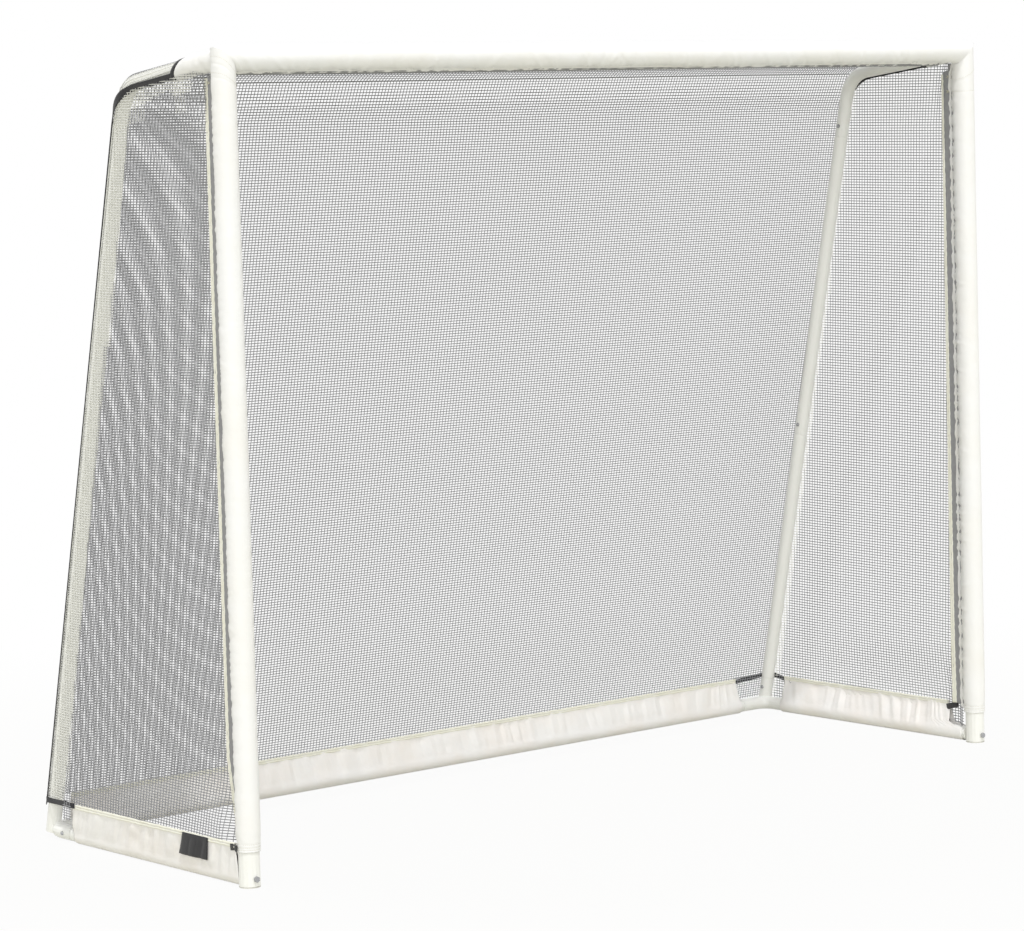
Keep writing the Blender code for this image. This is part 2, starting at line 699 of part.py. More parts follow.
# Nets
def rail_frames(side, rise_from, steps=12):
    """Points on the axes of arm, bend and stay, each with the way out of the net and how far the
    bend has turned there, from 0 to 1."""
    arm = arm_direction(side)
    down = stay_direction(side)
    bend = arc(post_top(side), bend_corner(side), rear_corner(side), BEND_RADIUS, steps)
    frames = [(post_top(side) + arm * rise_from, X_AXIS.cross(arm).normalized(), 0.0)]
    for step, point in enumerate(bend):
        share = step / steps
        run = (arm * (1 - share) + down * share).normalized()
        frames.append((point, X_AXIS.cross(run).normalized(), share))
    frames.append((stay_point(side, NET_BOTTOM), X_AXIS.cross(down).normalized(), 1.0))
    return frames


def rail(side, offset, rise_from):
    """The line of arm, bend and stay, moved out of the net by offset."""
    return [point + normal * offset for point, normal, _turned in rail_frames(side, rise_from)]


def round_tube(side, shift, arm_radius, stay_radius, rise_from):
    """Points round the tubes along the seam, turned on by shift, and the way out at each of them."""
    spots = []
    for point, normal, turned in rail_frames(side, rise_from):
        angle = ARM_SEAM + (STAY_SEAM - ARM_SEAM) * turned + shift
        facing = side * X_AXIS * cos(angle) + normal * sin(angle)
        spots.append((point + facing * (arm_radius + (stay_radius - arm_radius) * turned), facing))
    return spots


def along_line(points, share):
    """The point at a share of the length of a line of points."""
    runs = [(b - a).length for a, b in zip(points, points[1:])]
    left = share * sum(runs)
    for start, end, run in zip(points, points[1:], runs):
        if left <= run:
            return start.lerp(end, left / run)
        left -= run
    return points[-1].copy()


def bend_share(points, turned):
    """The share of a rail's length where the bend has turned so far, from 0 to 1."""
    runs = [(b - a).length for a, b in zip(points, points[1:])]
    return (runs[0] + turned * sum(runs[1:-1])) / sum(runs)


def sheet_nets():
    """Roof panel from the crossbar over the top arms, and back panel down behind the stays."""
    left = rail(-1, NET_OFFSET, ROOF_START)
    right = rail(1, NET_OFFSET, ROOF_START)
    columns = 12

    def across(share, column):
        low = along_line(left, share) - X_AXIS * NET_EDGE
        high = along_line(right, share) + X_AXIS * NET_EDGE
        width = high.x - low.x
        if column == 0:
            step = 0.0
        elif column == columns:
            step = 1.0
        else:
            step = (EDGE_STRIP + (column - 1) * (width - 2 * EDGE_STRIP) / (columns - 2)) / width
        return low.lerp(high, step)

    length = sum((b - a).length for a, b in zip(left, left[1:]))
    cuff_share = (CUFF_END_LOW + NET_CLEARANCE - ROOF_START) / length
    bend_start = bend_share(left, 0.0)
    roof_end = bend_share(left, ROOF_BEND_END)
    roof_rows = [0.0, cuff_share, (cuff_share + bend_start) / 2, bend_start,
                 (bend_start + roof_end) / 2, roof_end]
    back_start = bend_share(left, BACK_BEND_START)
    stay_start = bend_share(left, 1.0)
    back_rows = [back_start, (back_start + stay_start) / 2]
    back_rows += [stay_start + (1 - stay_start) * step / 8 for step in range(9)]

    def roof_place(column, row):
        drop = ROOF_FRONT_DROP if row == 0 else 0.0
        return across(roof_rows[row], column) - Z_AXIS * drop

    def back_place(column, row):
        return across(back_rows[row], column)

    corner_cells = []
    for column in (0, columns - 1):
        spots = [roof_place(column + i, j) for i in (0, 1) for j in (0, 1)]
        corner_cells.append(sum(spots, Vector()) / 4)
    panel("roof_net", columns, len(roof_rows) - 1, roof_place, corner_cells)
    panel("back_net", columns, len(back_rows) - 1, back_place, [])


def panel(name, columns, rows, place, empty):
    """A net panel: a grid laid by place(column, row), each edge of it a square strand."""
    bm = bmesh.new()
    bmesh.ops.create_grid(bm, x_segments=columns, y_segments=rows, size=0.5)
    for vert in bm.verts:
        column = round((vert.co.x + 0.5) * columns)
        row = round((vert.co.y + 0.5) * rows)
        vert.co = place(column, row)
    gone = [face for face in bm.faces
            if any((face.calc_center_median() - spot).length < 0.001 for spot in empty)]
    bmesh.ops.delete(bm, geom=gone, context="FACES")
    obj = from_bmesh(name, bm)
    strands = obj.modifiers.new("strands", "WIREFRAME")
    strands.thickness = NET_STRAND
    strands.offset = 0.0
    strands.use_even_offset = False
    strands.use_boundary = True
    strands.use_replace = True
    finish(settled(obj), name, NET_CORD)


def side_net(word, side):
    """Side panel between the post's flange, the top arm, the stay and the side skirt."""
    columns = 4
    rows = 9
    x = side * (HALF_WIDTH - FLANGE_IN)
    front_line = [at(x, FLANGE_FOOT_END + NET_CLEARANCE, NET_BOTTOM),
                  at(x, FLANGE_END + NET_CLEARANCE, FLANGE_KNEE + 0.003),
                  at(x, FLANGE_END + NET_CLEARANCE, FLANGE_HEAD - 0.003)]
    line = [spot for spot, _facing in
            round_tube(side, SIDE_EDGE_SHIFT, SIDE_EDGE_RADIUS, NET_OFFSET, FLANGE_END + 0.020)]
    turn = bend_share(line, 0.5)
    corner_low, _knee, corner_top = front_line
    corner_rear = line[-1]
    top_line = [corner_top, *[along_line(line, turn * step / 12) for step in range(13)]]
    rear_line = [along_line(line, turn + (1 - turn) * step / 24) for step in range(25)]

    def place(column, row):
        u = column / columns
        v = row / rows
        front = along_line(front_line, v)
        rear = along_line(rear_line, 1 - v)
        low = corner_low.lerp(corner_rear, u)
        high = along_line(top_line, u)
        blend = low.lerp(high, v) + front.lerp(rear, u)
        flat = corner_low.lerp(corner_rear, u).lerp(corner_top.lerp(rear_line[0], u), v)
        return blend - flat

    panel("side_net_" + word, columns, rows, place, [])


# Webbing
def ribbon(name, points, across, half_width):
    """A flat band: an open strip along points, as wide as given across, with Solidify."""
    bm = bmesh.new()
    bmesh.ops.create_grid(bm, x_segments=len(points) - 1, y_segments=1, size=0.5)
    steps = len(points) - 1
    for vert in bm.verts:
        index = round((vert.co.x + 0.5) * steps)
        edge = 1 if vert.co.y > 0 else -1
        vert.co = points[index] + across[index] * (half_width * edge)
    obj = from_bmesh(name, bm)
    wall = obj.modifiers.new("thickness", "SOLIDIFY")
    wall.thickness = WEBBING
    wall.offset = 0.0
    return finish(settled(obj), name, BLACK_WEB)


def seam_tape(word, side):
    """Webbing over the seam of side net and roof: under the arm, then down behind the stay."""
    spots = round_tube(side, 0.0, TAPE_RADIUS, TAPE_RADIUS, CUFF_END_LOW + NET_CLEARANCE)
    points = [spot for spot, _facing in spots]
    facings = [facing for _spot, facing in spots]
    across = []
    for index, facing in enumerate(facings):
        before = points[max(index - 1, 0)]
        after = points[min(index + 1, len(points) - 1)]
        across.append(facing.cross(after - before).normalized())
    ribbon("seam_tape_" + word, points, across, TAPE_HALF_WIDTH)


def corner_strap(word, side):
    """Strap round the outside of a stay's foot, from the back skirt to the side skirt."""
    centre = stay_point(side, STRAP_STAY_HEIGHT)
    reach = STAY_TUBE[0] + STRAP_STAND_OFF
    points = [at(side * (HALF_WIDTH - BACK_SKIRT_END - STRAP_LAP),
                 DEPTH + BACK_FLAP + 2 * STRAP_STAND_OFF, STRAP_END_HEIGHT)]
    for step in range(5):
        angle = radians(90 - 90 * step / 4)
        points.append(centre + Vector((side * reach * cos(angle), reach * sin(angle), 0)))
    points.append(at(side * (HALF_WIDTH + SIDE_FLAP + 0.0030), DEPTH - SIDE_SKIRT_END - STRAP_LAP,
                     STRAP_END_HEIGHT))
    ribbon("corner_strap_" + word, points, [Z_AXIS] * len(points), STRAP_HALF_WIDTH)


def build():
    for word, side in SIDES:
        top_corner(word, side)
        posts(word, side)
        arm_and_stays(word, side)
        rear_fitting(word, side)
        side_ground_tube(word, side)
        foot_bolt(word, side)
        foot_plug(word, side)
        post_sleeve(word, side)
        arm_cuff(word, side)
        side_net(word, side)
        seam_tape(word, side)
        corner_strap(word, side)
    crossbar()
    back_bar()
    crossbar_sleeve()
    skirts()
    sheet_nets()
    snap_buttons()


build()
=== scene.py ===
# %% [markdown]
# # A soccer goal in its sewn net
# The goal is a frame of white steel tubes, and the frame comes in ready-made as the fixed CAD part.
# This notebook dresses it: cloth sleeves on the mouth, skirts on the ground tubes, a fine net of real
# threads, black webbing along the seams, and a finish for every tube, bolt and button.

from math import cos, radians, sin, tan

import bpy
import numpy as np
from mathutils import Matrix, Vector

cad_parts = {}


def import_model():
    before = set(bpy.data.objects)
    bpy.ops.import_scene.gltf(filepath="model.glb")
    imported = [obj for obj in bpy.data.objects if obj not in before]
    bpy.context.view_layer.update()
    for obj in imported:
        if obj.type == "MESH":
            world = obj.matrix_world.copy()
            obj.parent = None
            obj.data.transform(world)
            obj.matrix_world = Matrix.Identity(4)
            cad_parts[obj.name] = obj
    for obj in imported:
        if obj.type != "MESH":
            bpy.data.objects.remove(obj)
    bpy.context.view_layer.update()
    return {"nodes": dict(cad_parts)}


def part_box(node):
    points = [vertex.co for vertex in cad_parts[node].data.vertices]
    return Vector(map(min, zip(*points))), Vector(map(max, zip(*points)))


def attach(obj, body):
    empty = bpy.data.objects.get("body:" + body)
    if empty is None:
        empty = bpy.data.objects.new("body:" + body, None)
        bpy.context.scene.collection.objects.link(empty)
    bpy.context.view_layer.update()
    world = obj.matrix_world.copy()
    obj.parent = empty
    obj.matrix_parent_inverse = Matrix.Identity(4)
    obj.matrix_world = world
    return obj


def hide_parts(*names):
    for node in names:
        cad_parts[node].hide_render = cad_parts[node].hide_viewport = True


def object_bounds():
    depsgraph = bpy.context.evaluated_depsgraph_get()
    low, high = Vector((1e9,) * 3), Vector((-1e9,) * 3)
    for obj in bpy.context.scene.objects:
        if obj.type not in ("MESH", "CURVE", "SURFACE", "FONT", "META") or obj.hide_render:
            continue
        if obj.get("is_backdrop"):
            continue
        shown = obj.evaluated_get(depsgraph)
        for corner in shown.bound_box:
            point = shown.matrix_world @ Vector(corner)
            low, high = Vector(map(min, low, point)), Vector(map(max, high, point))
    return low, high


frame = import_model()

# %% [markdown]
# Every place below comes from the tubes. The centre of a tube's end ring tells where its axis runs,
# so the sleeves, skirts and nets can be drawn round the axes without copying any number from the CAD.

# %% Measure the tubes
SIDES = (("left", -1), ("right", 1))
RING_DEPTH = 0.007         # deep enough for the whole end ring of a slanted tube
BEND_RADIUS = 0.070


def unit(v):
    return v / np.linalg.norm(v, axis=-1, keepdims=True)


def end_of(node, towards):
    """Centre of the end ring of a tube that lies furthest in a direction."""
    points = np.unique(np.round([v.co for v in frame["nodes"][node].data.vertices], 6), axis=0)
    reach = points @ np.array(towards, float)
    return points[reach > reach.max() - RING_DEPTH].mean(0)


def middle_of(node):
    low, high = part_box(node)
    return (low + high) / 2


POST_X, POST_Y = end_of("post_lower_right", (0, 0, -1))[:2]
BAR_Z = middle_of("crossbar_tube_left").z
BACK_Y = middle_of("back_bar_tube_left").y
GROUND_Z = middle_of("back_bar_tube_left").z
low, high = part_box("back_bar_tube_left")
STAY_RADIUS = (high.y - low.y) / 2
DEPTH = BACK_Y - POST_Y
X_AXIS = np.array([1.0, 0.0, 0.0])
print("post", round(POST_X, 4), round(POST_Y, 4), "bar", round(BAR_Z, 4), "depth", round(DEPTH, 4))

# %% [markdown]
# The line of a top arm, its bend and the stay below it is wanted again and again, so it is made once
# as a rail. A rail answers for any distance along it with the place on the tube's axis, the way the
# tube runs, and the way out of the net, square to the tube in the side view.

# %% The rail of arm, bend and stay
BEND_STEPS = 24


class Rail:
    def __init__(self, word, side):
        top = np.array([side * POST_X, POST_Y, BAR_Z])
        arm = unit(end_of("top_arm_" + word, (0, -1, 0)) - top)
        head = end_of("stay_upper_" + word, (0, -0.2, 1))
        down = unit(end_of("stay_lower_" + word, (0, 0.2, -1)) - head)
        between_axes = head - top
        slant = arm @ down
        run = (between_axes @ arm - (between_axes @ down) * slant) / (1 - slant ** 2)
        corner = top + arm * run
        half = np.arccos(-slant) / 2
        before = BEND_RADIUS / tan(half)
        centre = corner + unit(down - arm) * (BEND_RADIUS / sin(half))
        first = corner - arm * before - centre
        last = corner + down * before - centre
        sweep = np.pi - 2 * half
        share = np.linspace(0, 1, BEND_STEPS + 1)[:, None]
        bend = centre + (first * np.sin((1 - share) * sweep) + last * np.sin(share * sweep)) / sin(sweep)
        fall = (corner[2] - GROUND_Z) / -down[2]
        self.side = side
        self.points = np.vstack([top, bend, corner + down * fall])
        self.along = np.concatenate([[0], np.cumsum(np.linalg.norm(np.diff(self.points, axis=0), axis=1))])
        self.runs = np.vstack([arm, unit(arm * (1 - share) + down * share), down])
        self.bend = (self.along[1], self.along[-2])
        self.end = self.along[-1]

    def at(self, s):
        """Place on the axis, way along and way out of the net, for distances s."""
        place, run = [np.stack([np.interp(s, self.along, table[:, i]) for i in range(3)], -1)
                      for table in (self.points, self.runs)]
        return place, unit(run), unit(np.cross(X_AXIS, run))

    def at_height(self, z):
        """How far along the stay a height is."""
        return np.interp(z, self.points[::-1, 2], self.along[::-1])


RAILS = {side: Rail(word, side) for word, side in SIDES}
print("rail", round(RAILS[1].end, 3), "m, bend from", [round(b, 3) for b in RAILS[1].bend])

# %% [markdown]
# ## Camera
# The camera stands in front of the goal and to its left, a little under the crossbar. Its place and
# lens were found by matching the corners of the frame to the photograph. The small shift keeps the
# goal where the photograph has it without tilting the uprights.

# %% Set the camera
PHOTO_WIDTH, PHOTO_HEIGHT = 1024, 931
FOCAL_PIXELS = 3434.34
CENTRE_PIXEL = (482.78, 363.97)
CAMERA_PLACE = Vector((-4.5819, POST_Y - 5.0165, 1.3545))
YAW, PITCH, ROLL = radians(39.8706), radians(-3.8562), radians(-1.5992)

ahead = Vector((sin(YAW) * cos(PITCH), cos(YAW) * cos(PITCH), sin(PITCH)))
level = Vector((cos(YAW), -sin(YAW), 0))
upright = level.cross(ahead)
right = level * cos(ROLL) + upright * sin(ROLL)
up = upright * cos(ROLL) - level * sin(ROLL)
lens = bpy.data.cameras.new("camera")
lens.sensor_width = 36.0
lens.lens = FOCAL_PIXELS * lens.sensor_width / PHOTO_WIDTH
lens.shift_x = (PHOTO_WIDTH / 2 - CENTRE_PIXEL[0]) / PHOTO_WIDTH
lens.shift_y = (CENTRE_PIXEL[1] - PHOTO_HEIGHT / 2) / PHOTO_WIDTH
camera = bpy.data.objects.new("camera", lens)
turn = Matrix((right, up, -ahead)).transposed().to_4x4()
camera.matrix_world = Matrix.Translation(CAMERA_PLACE) @ turn
bpy.context.scene.collection.objects.link(camera)
bpy.context.scene.camera = camera
bpy.context.scene.view_settings.view_transform = "Standard"
print("lens", round(lens.lens, 2), "shift", round(lens.shift_x, 4), round(lens.shift_y, 4))

# %% [markdown]
# ## Shader maths as plain sums
# A material here is written as sums on sockets. `Wire` wraps a socket, so that `1 - mask * 0.5` adds
# the Math nodes by itself. Every other node comes from `Look.node`, which sets the node's own settings
# first and then its sockets, by value or by link.

# %% A small shader language
class Wire:
    def __init__(self, look, socket):
        self.look = look
        self.socket = socket

    def maths(self, operation, first, second):
        return self.look.node("ShaderNodeMath", {"operation": operation}, {0: first, 1: second})

    def __add__(self, other):
        return self.maths("ADD", self, other)

    def __sub__(self, other):
        return self.maths("SUBTRACT", self, other)

    def __rsub__(self, other):
        return self.maths("SUBTRACT", other, self)

    def __mul__(self, other):
        return self.maths("MULTIPLY", self, other)

    __radd__ = __add__
    __rmul__ = __mul__


class Look:
    """A material or a world with its nodes, starting from the shader that Blender gives it."""

    def __init__(self, name, home=bpy.data.materials, shader="Principled BSDF"):
        self.material = home.new(name)
        self.material.use_nodes = True
        self.tree = self.material.node_tree
        self.shader = self.tree.nodes[shader]

    def fill(self, node, sockets):
        for key, value in sockets.items():
            if isinstance(value, Wire):
                self.tree.links.new(value.socket, node.inputs[key])
            else:
                node.inputs[key].default_value = value

    def node(self, kind, settings, sockets, out=0):
        made = self.tree.nodes.new(kind)
        for key, value in settings.items():
            if key == "stops":
                for element, (position, colour) in zip(made.color_ramp.elements, value):
                    element.position = position
                    element.color = colour
            else:
                setattr(made, key, value)
        self.fill(made, sockets)
        return Wire(self, made.outputs[out])

    def surface(self, **sockets):
        self.fill(self.shader, {key.replace("_", " "): value for key, value in sockets.items()})
        return self.material

    def noise(self, scale, detail=2.0, roughness=0.5):
        return self.node("ShaderNodeTexNoise", {}, {
            "Vector": self.place(), "Scale": scale, "Detail": detail, "Roughness": roughness})

    def place(self):
        """Where a point is, in metres in the goal's frame."""
        return self.node("ShaderNodeTexCoord", {}, {}, out="Object")

    def mix(self, factor, first, second):
        """A colour between two, by factor."""
        return self.node("ShaderNodeMix", {"data_type": "RGBA"}, {0: factor, 6: first, 7: second}, out=2)

    def mask(self, factor, start, stop):
        """0 where factor is under start, 1 where it is over stop."""
        stops = [(start, (0, 0, 0, 1)), (stop, (1, 1, 1, 1))]
        return self.node("ShaderNodeValToRGB", {"stops": stops}, {0: factor})

    def bump(self, height, distance, strength, **under):
        return self.node("ShaderNodeBump", {}, {
            "Height": height, "Distance": distance, "Strength": strength, **under})


def rgb(red, green, blue):
    """A colour from its 0 to 255 values as seen on a screen."""
    def linear(level):
        level = level / 255
        return level / 12.92 if level <= 0.04045 else ((level + 0.055) / 1.055) ** 2.4
    return (linear(red), linear(green), linear(blue), 1.0)


# %% [markdown]
# ## Cloth finishes
# The sleeves are a coated cloth: nearly white, a little glossy, with a fine weave pressed through
# the coating and faint cream clouds where it has been handled. The weave is bump from sine waves
# along the three axes, so the cloth needs no unwrapping.

# %% Coated white cloth
WEAVE = 0.0011             # from thread to thread
RIBS = 0.0018              # from rib to rib
WAVE_LENGTH = 0.314        # a wave texture of scale 1 repeats after this distance


def weave(look, pitch):
    """Height of a plain weave, from waves along the three axes."""
    waves = [look.node("ShaderNodeTexWave", {"bands_direction": axis}, {
        "Vector": look.place(), "Scale": WAVE_LENGTH / pitch, "Distortion": 0.4, "Detail": 1.0}, out=1)
        for axis in "XYZ"]
    return (waves[0] + waves[1] + waves[2]) * 0.33


def coated_cloth(name, clean, soiled, roughness, clouds):
    look = Look(name)
    cloud = look.mask(look.noise(clouds, detail=4.0, roughness=0.6), 0.42, 0.72)
    colour = look.mix(cloud * 0.8, clean, soiled)
    gloss = roughness + (look.noise(90.0) - 0.5) * 0.16
    rumple = look.bump(look.noise(30.0, detail=4.0, roughness=0.6), 0.0025, 0.6)
    cloth = look.bump(weave(look, WEAVE), 0.00012, 0.6, Normal=rumple)
    return look.surface(Base_Color=colour, Roughness=gloss, Normal=cloth, Sheen_Weight=0.12)


SLEEVE_LOOK = coated_cloth("coated_sleeve_cloth", rgb(252, 252, 252), rgb(250, 248, 243), 0.46, 5.0)
SKIRT_LOOK = coated_cloth("coated_skirt_cloth", rgb(252, 250, 248), rgb(250, 244, 238), 0.50, 9.0)
BINDING_LOOK = coated_cloth("cream_binding", rgb(252, 251, 238), rgb(247, 244, 226), 0.60, 40.0)

# %% [markdown]
# The net is soft twisted cord, grey and matt. Where it lies against a tube, its threads take a paler
# copy of the cord's finish: painted light for the bright coating shining behind them. Webbing is black
# with ribs across it. Thread for the seams is nearly the colour of the bindings.

# %% Cord, webbing and thread
def matt_cord(name, light, dark, grain=120.0, roughness=0.82):
    look = Look(name)
    colour = look.mix(look.noise(grain), light, dark)
    return look.surface(Base_Color=colour, Roughness=roughness)


def webbing():
    look = Look("black_webbing")
    ribs = weave(look, RIBS)
    colour = look.mix(ribs, rgb(22, 22, 24), rgb(46, 45, 48))
    height = look.bump(ribs, 0.0004, 0.8)
    return look.surface(Base_Color=colour, Roughness=0.78, Normal=height, Sheen_Weight=0.2)


NET_LOOK = matt_cord("grey_net_cord", rgb(147, 148, 152), rgb(165, 165, 169))
NET_PAINTED_LIGHT_LOOK = matt_cord("net_cord_painted_light", rgb(238, 238, 234), rgb(228, 228, 222))
# The grey strip behind the posts and under the crossbar is painted shade: a dark sheet for the shadow inside
# the gathered flanges.
SHADE_STRIP_LOOK = matt_cord("grey_strip_painted_shade", rgb(150, 150, 153), rgb(168, 168, 171))
WEB_LOOK = webbing()
THREAD_LOOK = matt_cord("seam_thread", rgb(236, 233, 218), rgb(212, 208, 192), 400.0, 0.75)

# %% [markdown]
# ## Hard finishes
# The tubes are powder coated: an even cream white with a slight orange peel and a few rubbed, greyer
# patches. The snap buttons, their leaves and the foot bolts are zinc plated, which is a cloudy,
# slightly brushed metal. The plugs under the posts are moulded in white plastic.

# %% Powder coat, zinc and plastic
def powder_coat():
    look = Look("powder_coated_tube")
    rubbed = look.mask(look.noise(22.0, detail=6.0, roughness=0.7), 0.60, 0.80)
    colour = look.mix(rubbed * 0.5, rgb(252, 252, 248), rgb(240, 238, 228))
    gloss = 0.34 + rubbed * 0.2 + (look.noise(60.0) - 0.5) * 0.1
    peel = look.bump(look.noise(900.0), 0.00006, 0.5)
    return look.surface(Base_Color=colour, Roughness=gloss, Normal=peel, Coat_Weight=0.15)


def zinc_plate():
    look = Look("zinc_plate")
    cloud = look.noise(320.0, detail=5.0)
    colour = look.mix(cloud, rgb(196, 197, 198), rgb(150, 150, 152))
    grain = look.bump(look.noise(2600.0), 0.00003, 0.5)
    return look.surface(Base_Color=colour, Roughness=0.28 + cloud * 0.2, Metallic=1.0, Normal=grain)


def moulded_plastic():
    look = Look("moulded_plastic")
    colour = look.mix(look.noise(80.0), rgb(232, 231, 226), rgb(212, 210, 202))
    grain = look.bump(look.noise(1800.0), 0.00004, 0.4)
    return look.surface(Base_Color=colour, Roughness=0.48, Normal=grain)


TUBE_LOOK = powder_coat()
ZINC_LOOK = zinc_plate()
PLASTIC_LOOK = moulded_plastic()
HARD_LOOKS = (("foot_bolt", ZINC_LOOK), ("button", ZINC_LOOK), ("foot_plug", PLASTIC_LOOK), ("", TUBE_LOOK))
for name, node in frame["nodes"].items():
    look = next(finish for start, finish in HARD_LOOKS if name.startswith(start))
    node.data.materials.clear()
    node.data.materials.append(look)
print("finishes on", len(frame["nodes"]), "nodes")

# %% [markdown]
# ## From numbers to meshes
# Cloth and cord are computed with numpy and then made into meshes. A cloth piece is a grid of points,
# so a fold is only a number added to the place of each point. `uneven` is a smooth random number,
# the same at every run, and `folds` turns it into gathers of uneven width and depth. `rise` is the
# smooth step that starts and ends every change of shape.

# %% Steps, noise and folds
def rise(x, start, stop):
    """0 at start and before it, 1 at stop and past it, where stop may also be the lower one."""
    share = np.clip((x - start) / (stop - start), 0, 1)
    return share * share * (3 - 2 * share)


def between(first, last, share):
    return first + (last - first) * share


def xyz(x, y, z):
    """Points from their coordinates, given as numbers or arrays that fit each other."""
    return np.stack(np.broadcast_arrays(x, y, z), -1)


def uneven(x, y, seed):
    """Smooth noise between -1 and 1 that changes over about one unit of x and y."""
    table = np.random.default_rng(seed).uniform(-1, 1, (64, 64))
    x, y = np.broadcast_arrays(np.asarray(x, float), np.asarray(y, float))
    i, j = np.floor(x).astype(int), np.floor(y).astype(int)
    u, v = rise(x - i, 0, 1), rise(y - j, 0, 1)
    near = between(table[i % 64, j % 64], table[i % 64, (j + 1) % 64], v)
    far = between(table[(i + 1) % 64, j % 64], table[(i + 1) % 64, (j + 1) % 64], v)
    return between(near, far, u)


def folds(x, pitch, seed):
    """Gathers across x: a ridge about every pitch, uneven in width and depth."""
    phase = 2 * np.pi * (x / pitch + 0.9 * uneven(x / pitch / 2.3, seed, seed))
    wave = 0.7 * np.sin(phase) + 0.3 * np.sin(2.3 * phase + 1.7)
    return wave * (0.62 + 0.38 * uneven(x / pitch / 1.7, seed + 0.5, seed + 1))


# %% [markdown]
# Creases fan out from the stitches of a gathered seam. Each is a ridge or a valley that runs a little
# aside, gets wider and fades.

# %% Creases from a seam
STITCH_SPACING = 0.030
CREASE_SLOPE = 1.3
CREASE_WIDTH = 0.0021


def creases(length, arc, seed, reach):
    """Heights for places along the seam and arc away from it; reach is where a crease has faded."""
    rng = np.random.default_rng(seed)
    height = np.zeros(np.broadcast(length, arc).shape)
    stitch = length.min() - STITCH_SPACING * rng.uniform(0, 1)
    while stitch < length.max():
        for _ in range(3):
            aside = rng.uniform(-CREASE_SLOPE, CREASE_SLOPE)
            fade = reach * rng.uniform(0.5, 1.4)
            off = (length - stitch - aside * arc) / (CREASE_WIDTH + 0.05 * arc)
            height += rng.uniform(-0.7, 1.0) * np.exp(-off ** 2 - (arc / fade) ** 2)
        stitch += STITCH_SPACING * rng.uniform(0.4, 1.7)
    return height


# %% [markdown]
# Faces join neighbours in the grid. A cloth piece gets its thickness from a Solidify modifier, and
# every piece rides on the frame and takes the finish it is given.

# %% Grids, pieces and cloth
def grid_faces(rows, columns, looped=False):
    """Corner numbers of the quads of a grid; looped joins the last column to the first."""
    i = np.arange(rows - 1)[:, None] * columns
    j = np.arange(columns if looped else columns - 1)[None]
    k = (j + 1) % columns
    corners = (i + j, i + k, i + columns + k, i + columns + j)
    return np.stack(corners, -1).reshape(-1, 4)


def outward(grid, faces, axis):
    """The faces, turned over if they look at the axis instead of away from it."""
    corners = grid.reshape(-1, 3)[faces]
    normal = np.cross(corners[:, 1] - corners[:, 0], corners[:, 3] - corners[:, 0])
    away = corners[:, 0] - np.broadcast_to(axis, grid.shape).reshape(-1, 3)[faces[:, 0]]
    return faces if (normal * away).sum() > 0 else faces[:, ::-1]


def piece(name, points, faces, look, slot):
    mesh = bpy.data.meshes.new(name)
    mesh.from_pydata(points.reshape(-1, 3).tolist(), [], faces.tolist())
    mesh.materials.append(look)
    mesh.shade_smooth()
    obj = bpy.data.objects.new(name, mesh)
    bpy.context.scene.collection.objects.link(obj)
    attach(obj, "frame")
    return obj


def cloth(name, grid, look, slot, wall, looped=False):
    """Cloth of a real thickness over a grid of points, rows by columns."""
    obj = piece(name, grid, grid_faces(*grid.shape[:2], looped), look, slot)
    solid = obj.modifiers.new("thickness", "SOLIDIFY")
    solid.thickness = wall
    solid.offset = 0.0
    return obj


# %% [markdown]
# ## Sleeves on the posts
# A post sleeve is one strip of cloth. It goes round the tube and its two edges meet behind the post,
# over a grey strip of painted shade that stands for the shadow in the flange; the edge of the side net
# lies under a cream binding there. The seam gathers the cloth: its edges end in scallops, and fine
# creases fan out from the stitches and die out round the front. The sleeve is one layer with its foot
# turned in as a hem. Its points lie closer near the seam, where the creases are.

# %% Section of a sleeve
SLEEVE_RADIUS = 0.0229
NECK = 0.0330              # behind the post's axis, where the sleeve closes into its flange
LEAF_END = 0.0400          # the sleeve's own edges end here, in scallops
LEAF_GAP = 0.0016          # from the middle of the flange to either edge
LEAN_FROM = 0.012          # from here on back the sleeve leans with its flange
CLOTH_WALL = 0.0007
HALF_ROUND = 21            # points on each half of the tube
FLANGE_POINTS = 3
TUBE_SKIN = 0.0208         # no fold goes closer to a post's axis than this
GATHER_SPREAD = radians(60)             # the gathers fade at about this angle from the seam
FINE_DEPTH = 0.0011        # of the small gathers between the large ones
DRIFT_DEPTH, DENT_DEPTH = 0.0009, 0.0004
SEAM_SWAY = 0.0024         # how far the gathers push the seam aside
SCALLOP = 0.0034           # depth of the scallops in the sleeve's edges
POST_GATHERS = {"pitch": 0.034, "depth": 0.0028, "fan_reach": 0.030, "fan_height": 0.0017}
BAR_GATHERS = {"pitch": 0.038, "depth": 0.0040, "fan_reach": 0.046, "fan_height": 0.0032}


def sleeve_section():
    """Angle from the back, distance from the axis and side of each point of the section."""
    touch = np.arccos(SLEEVE_RADIUS / NECK)
    half = np.pi * np.linspace(0, 1, HALF_ROUND) ** 1.5
    angle = np.concatenate([half, half[-2::-1]])
    side = np.where(np.arange(len(angle)) < HALF_ROUND, 1, -1)
    return angle, SLEEVE_RADIUS / np.cos(np.maximum(touch - angle, 0)), side


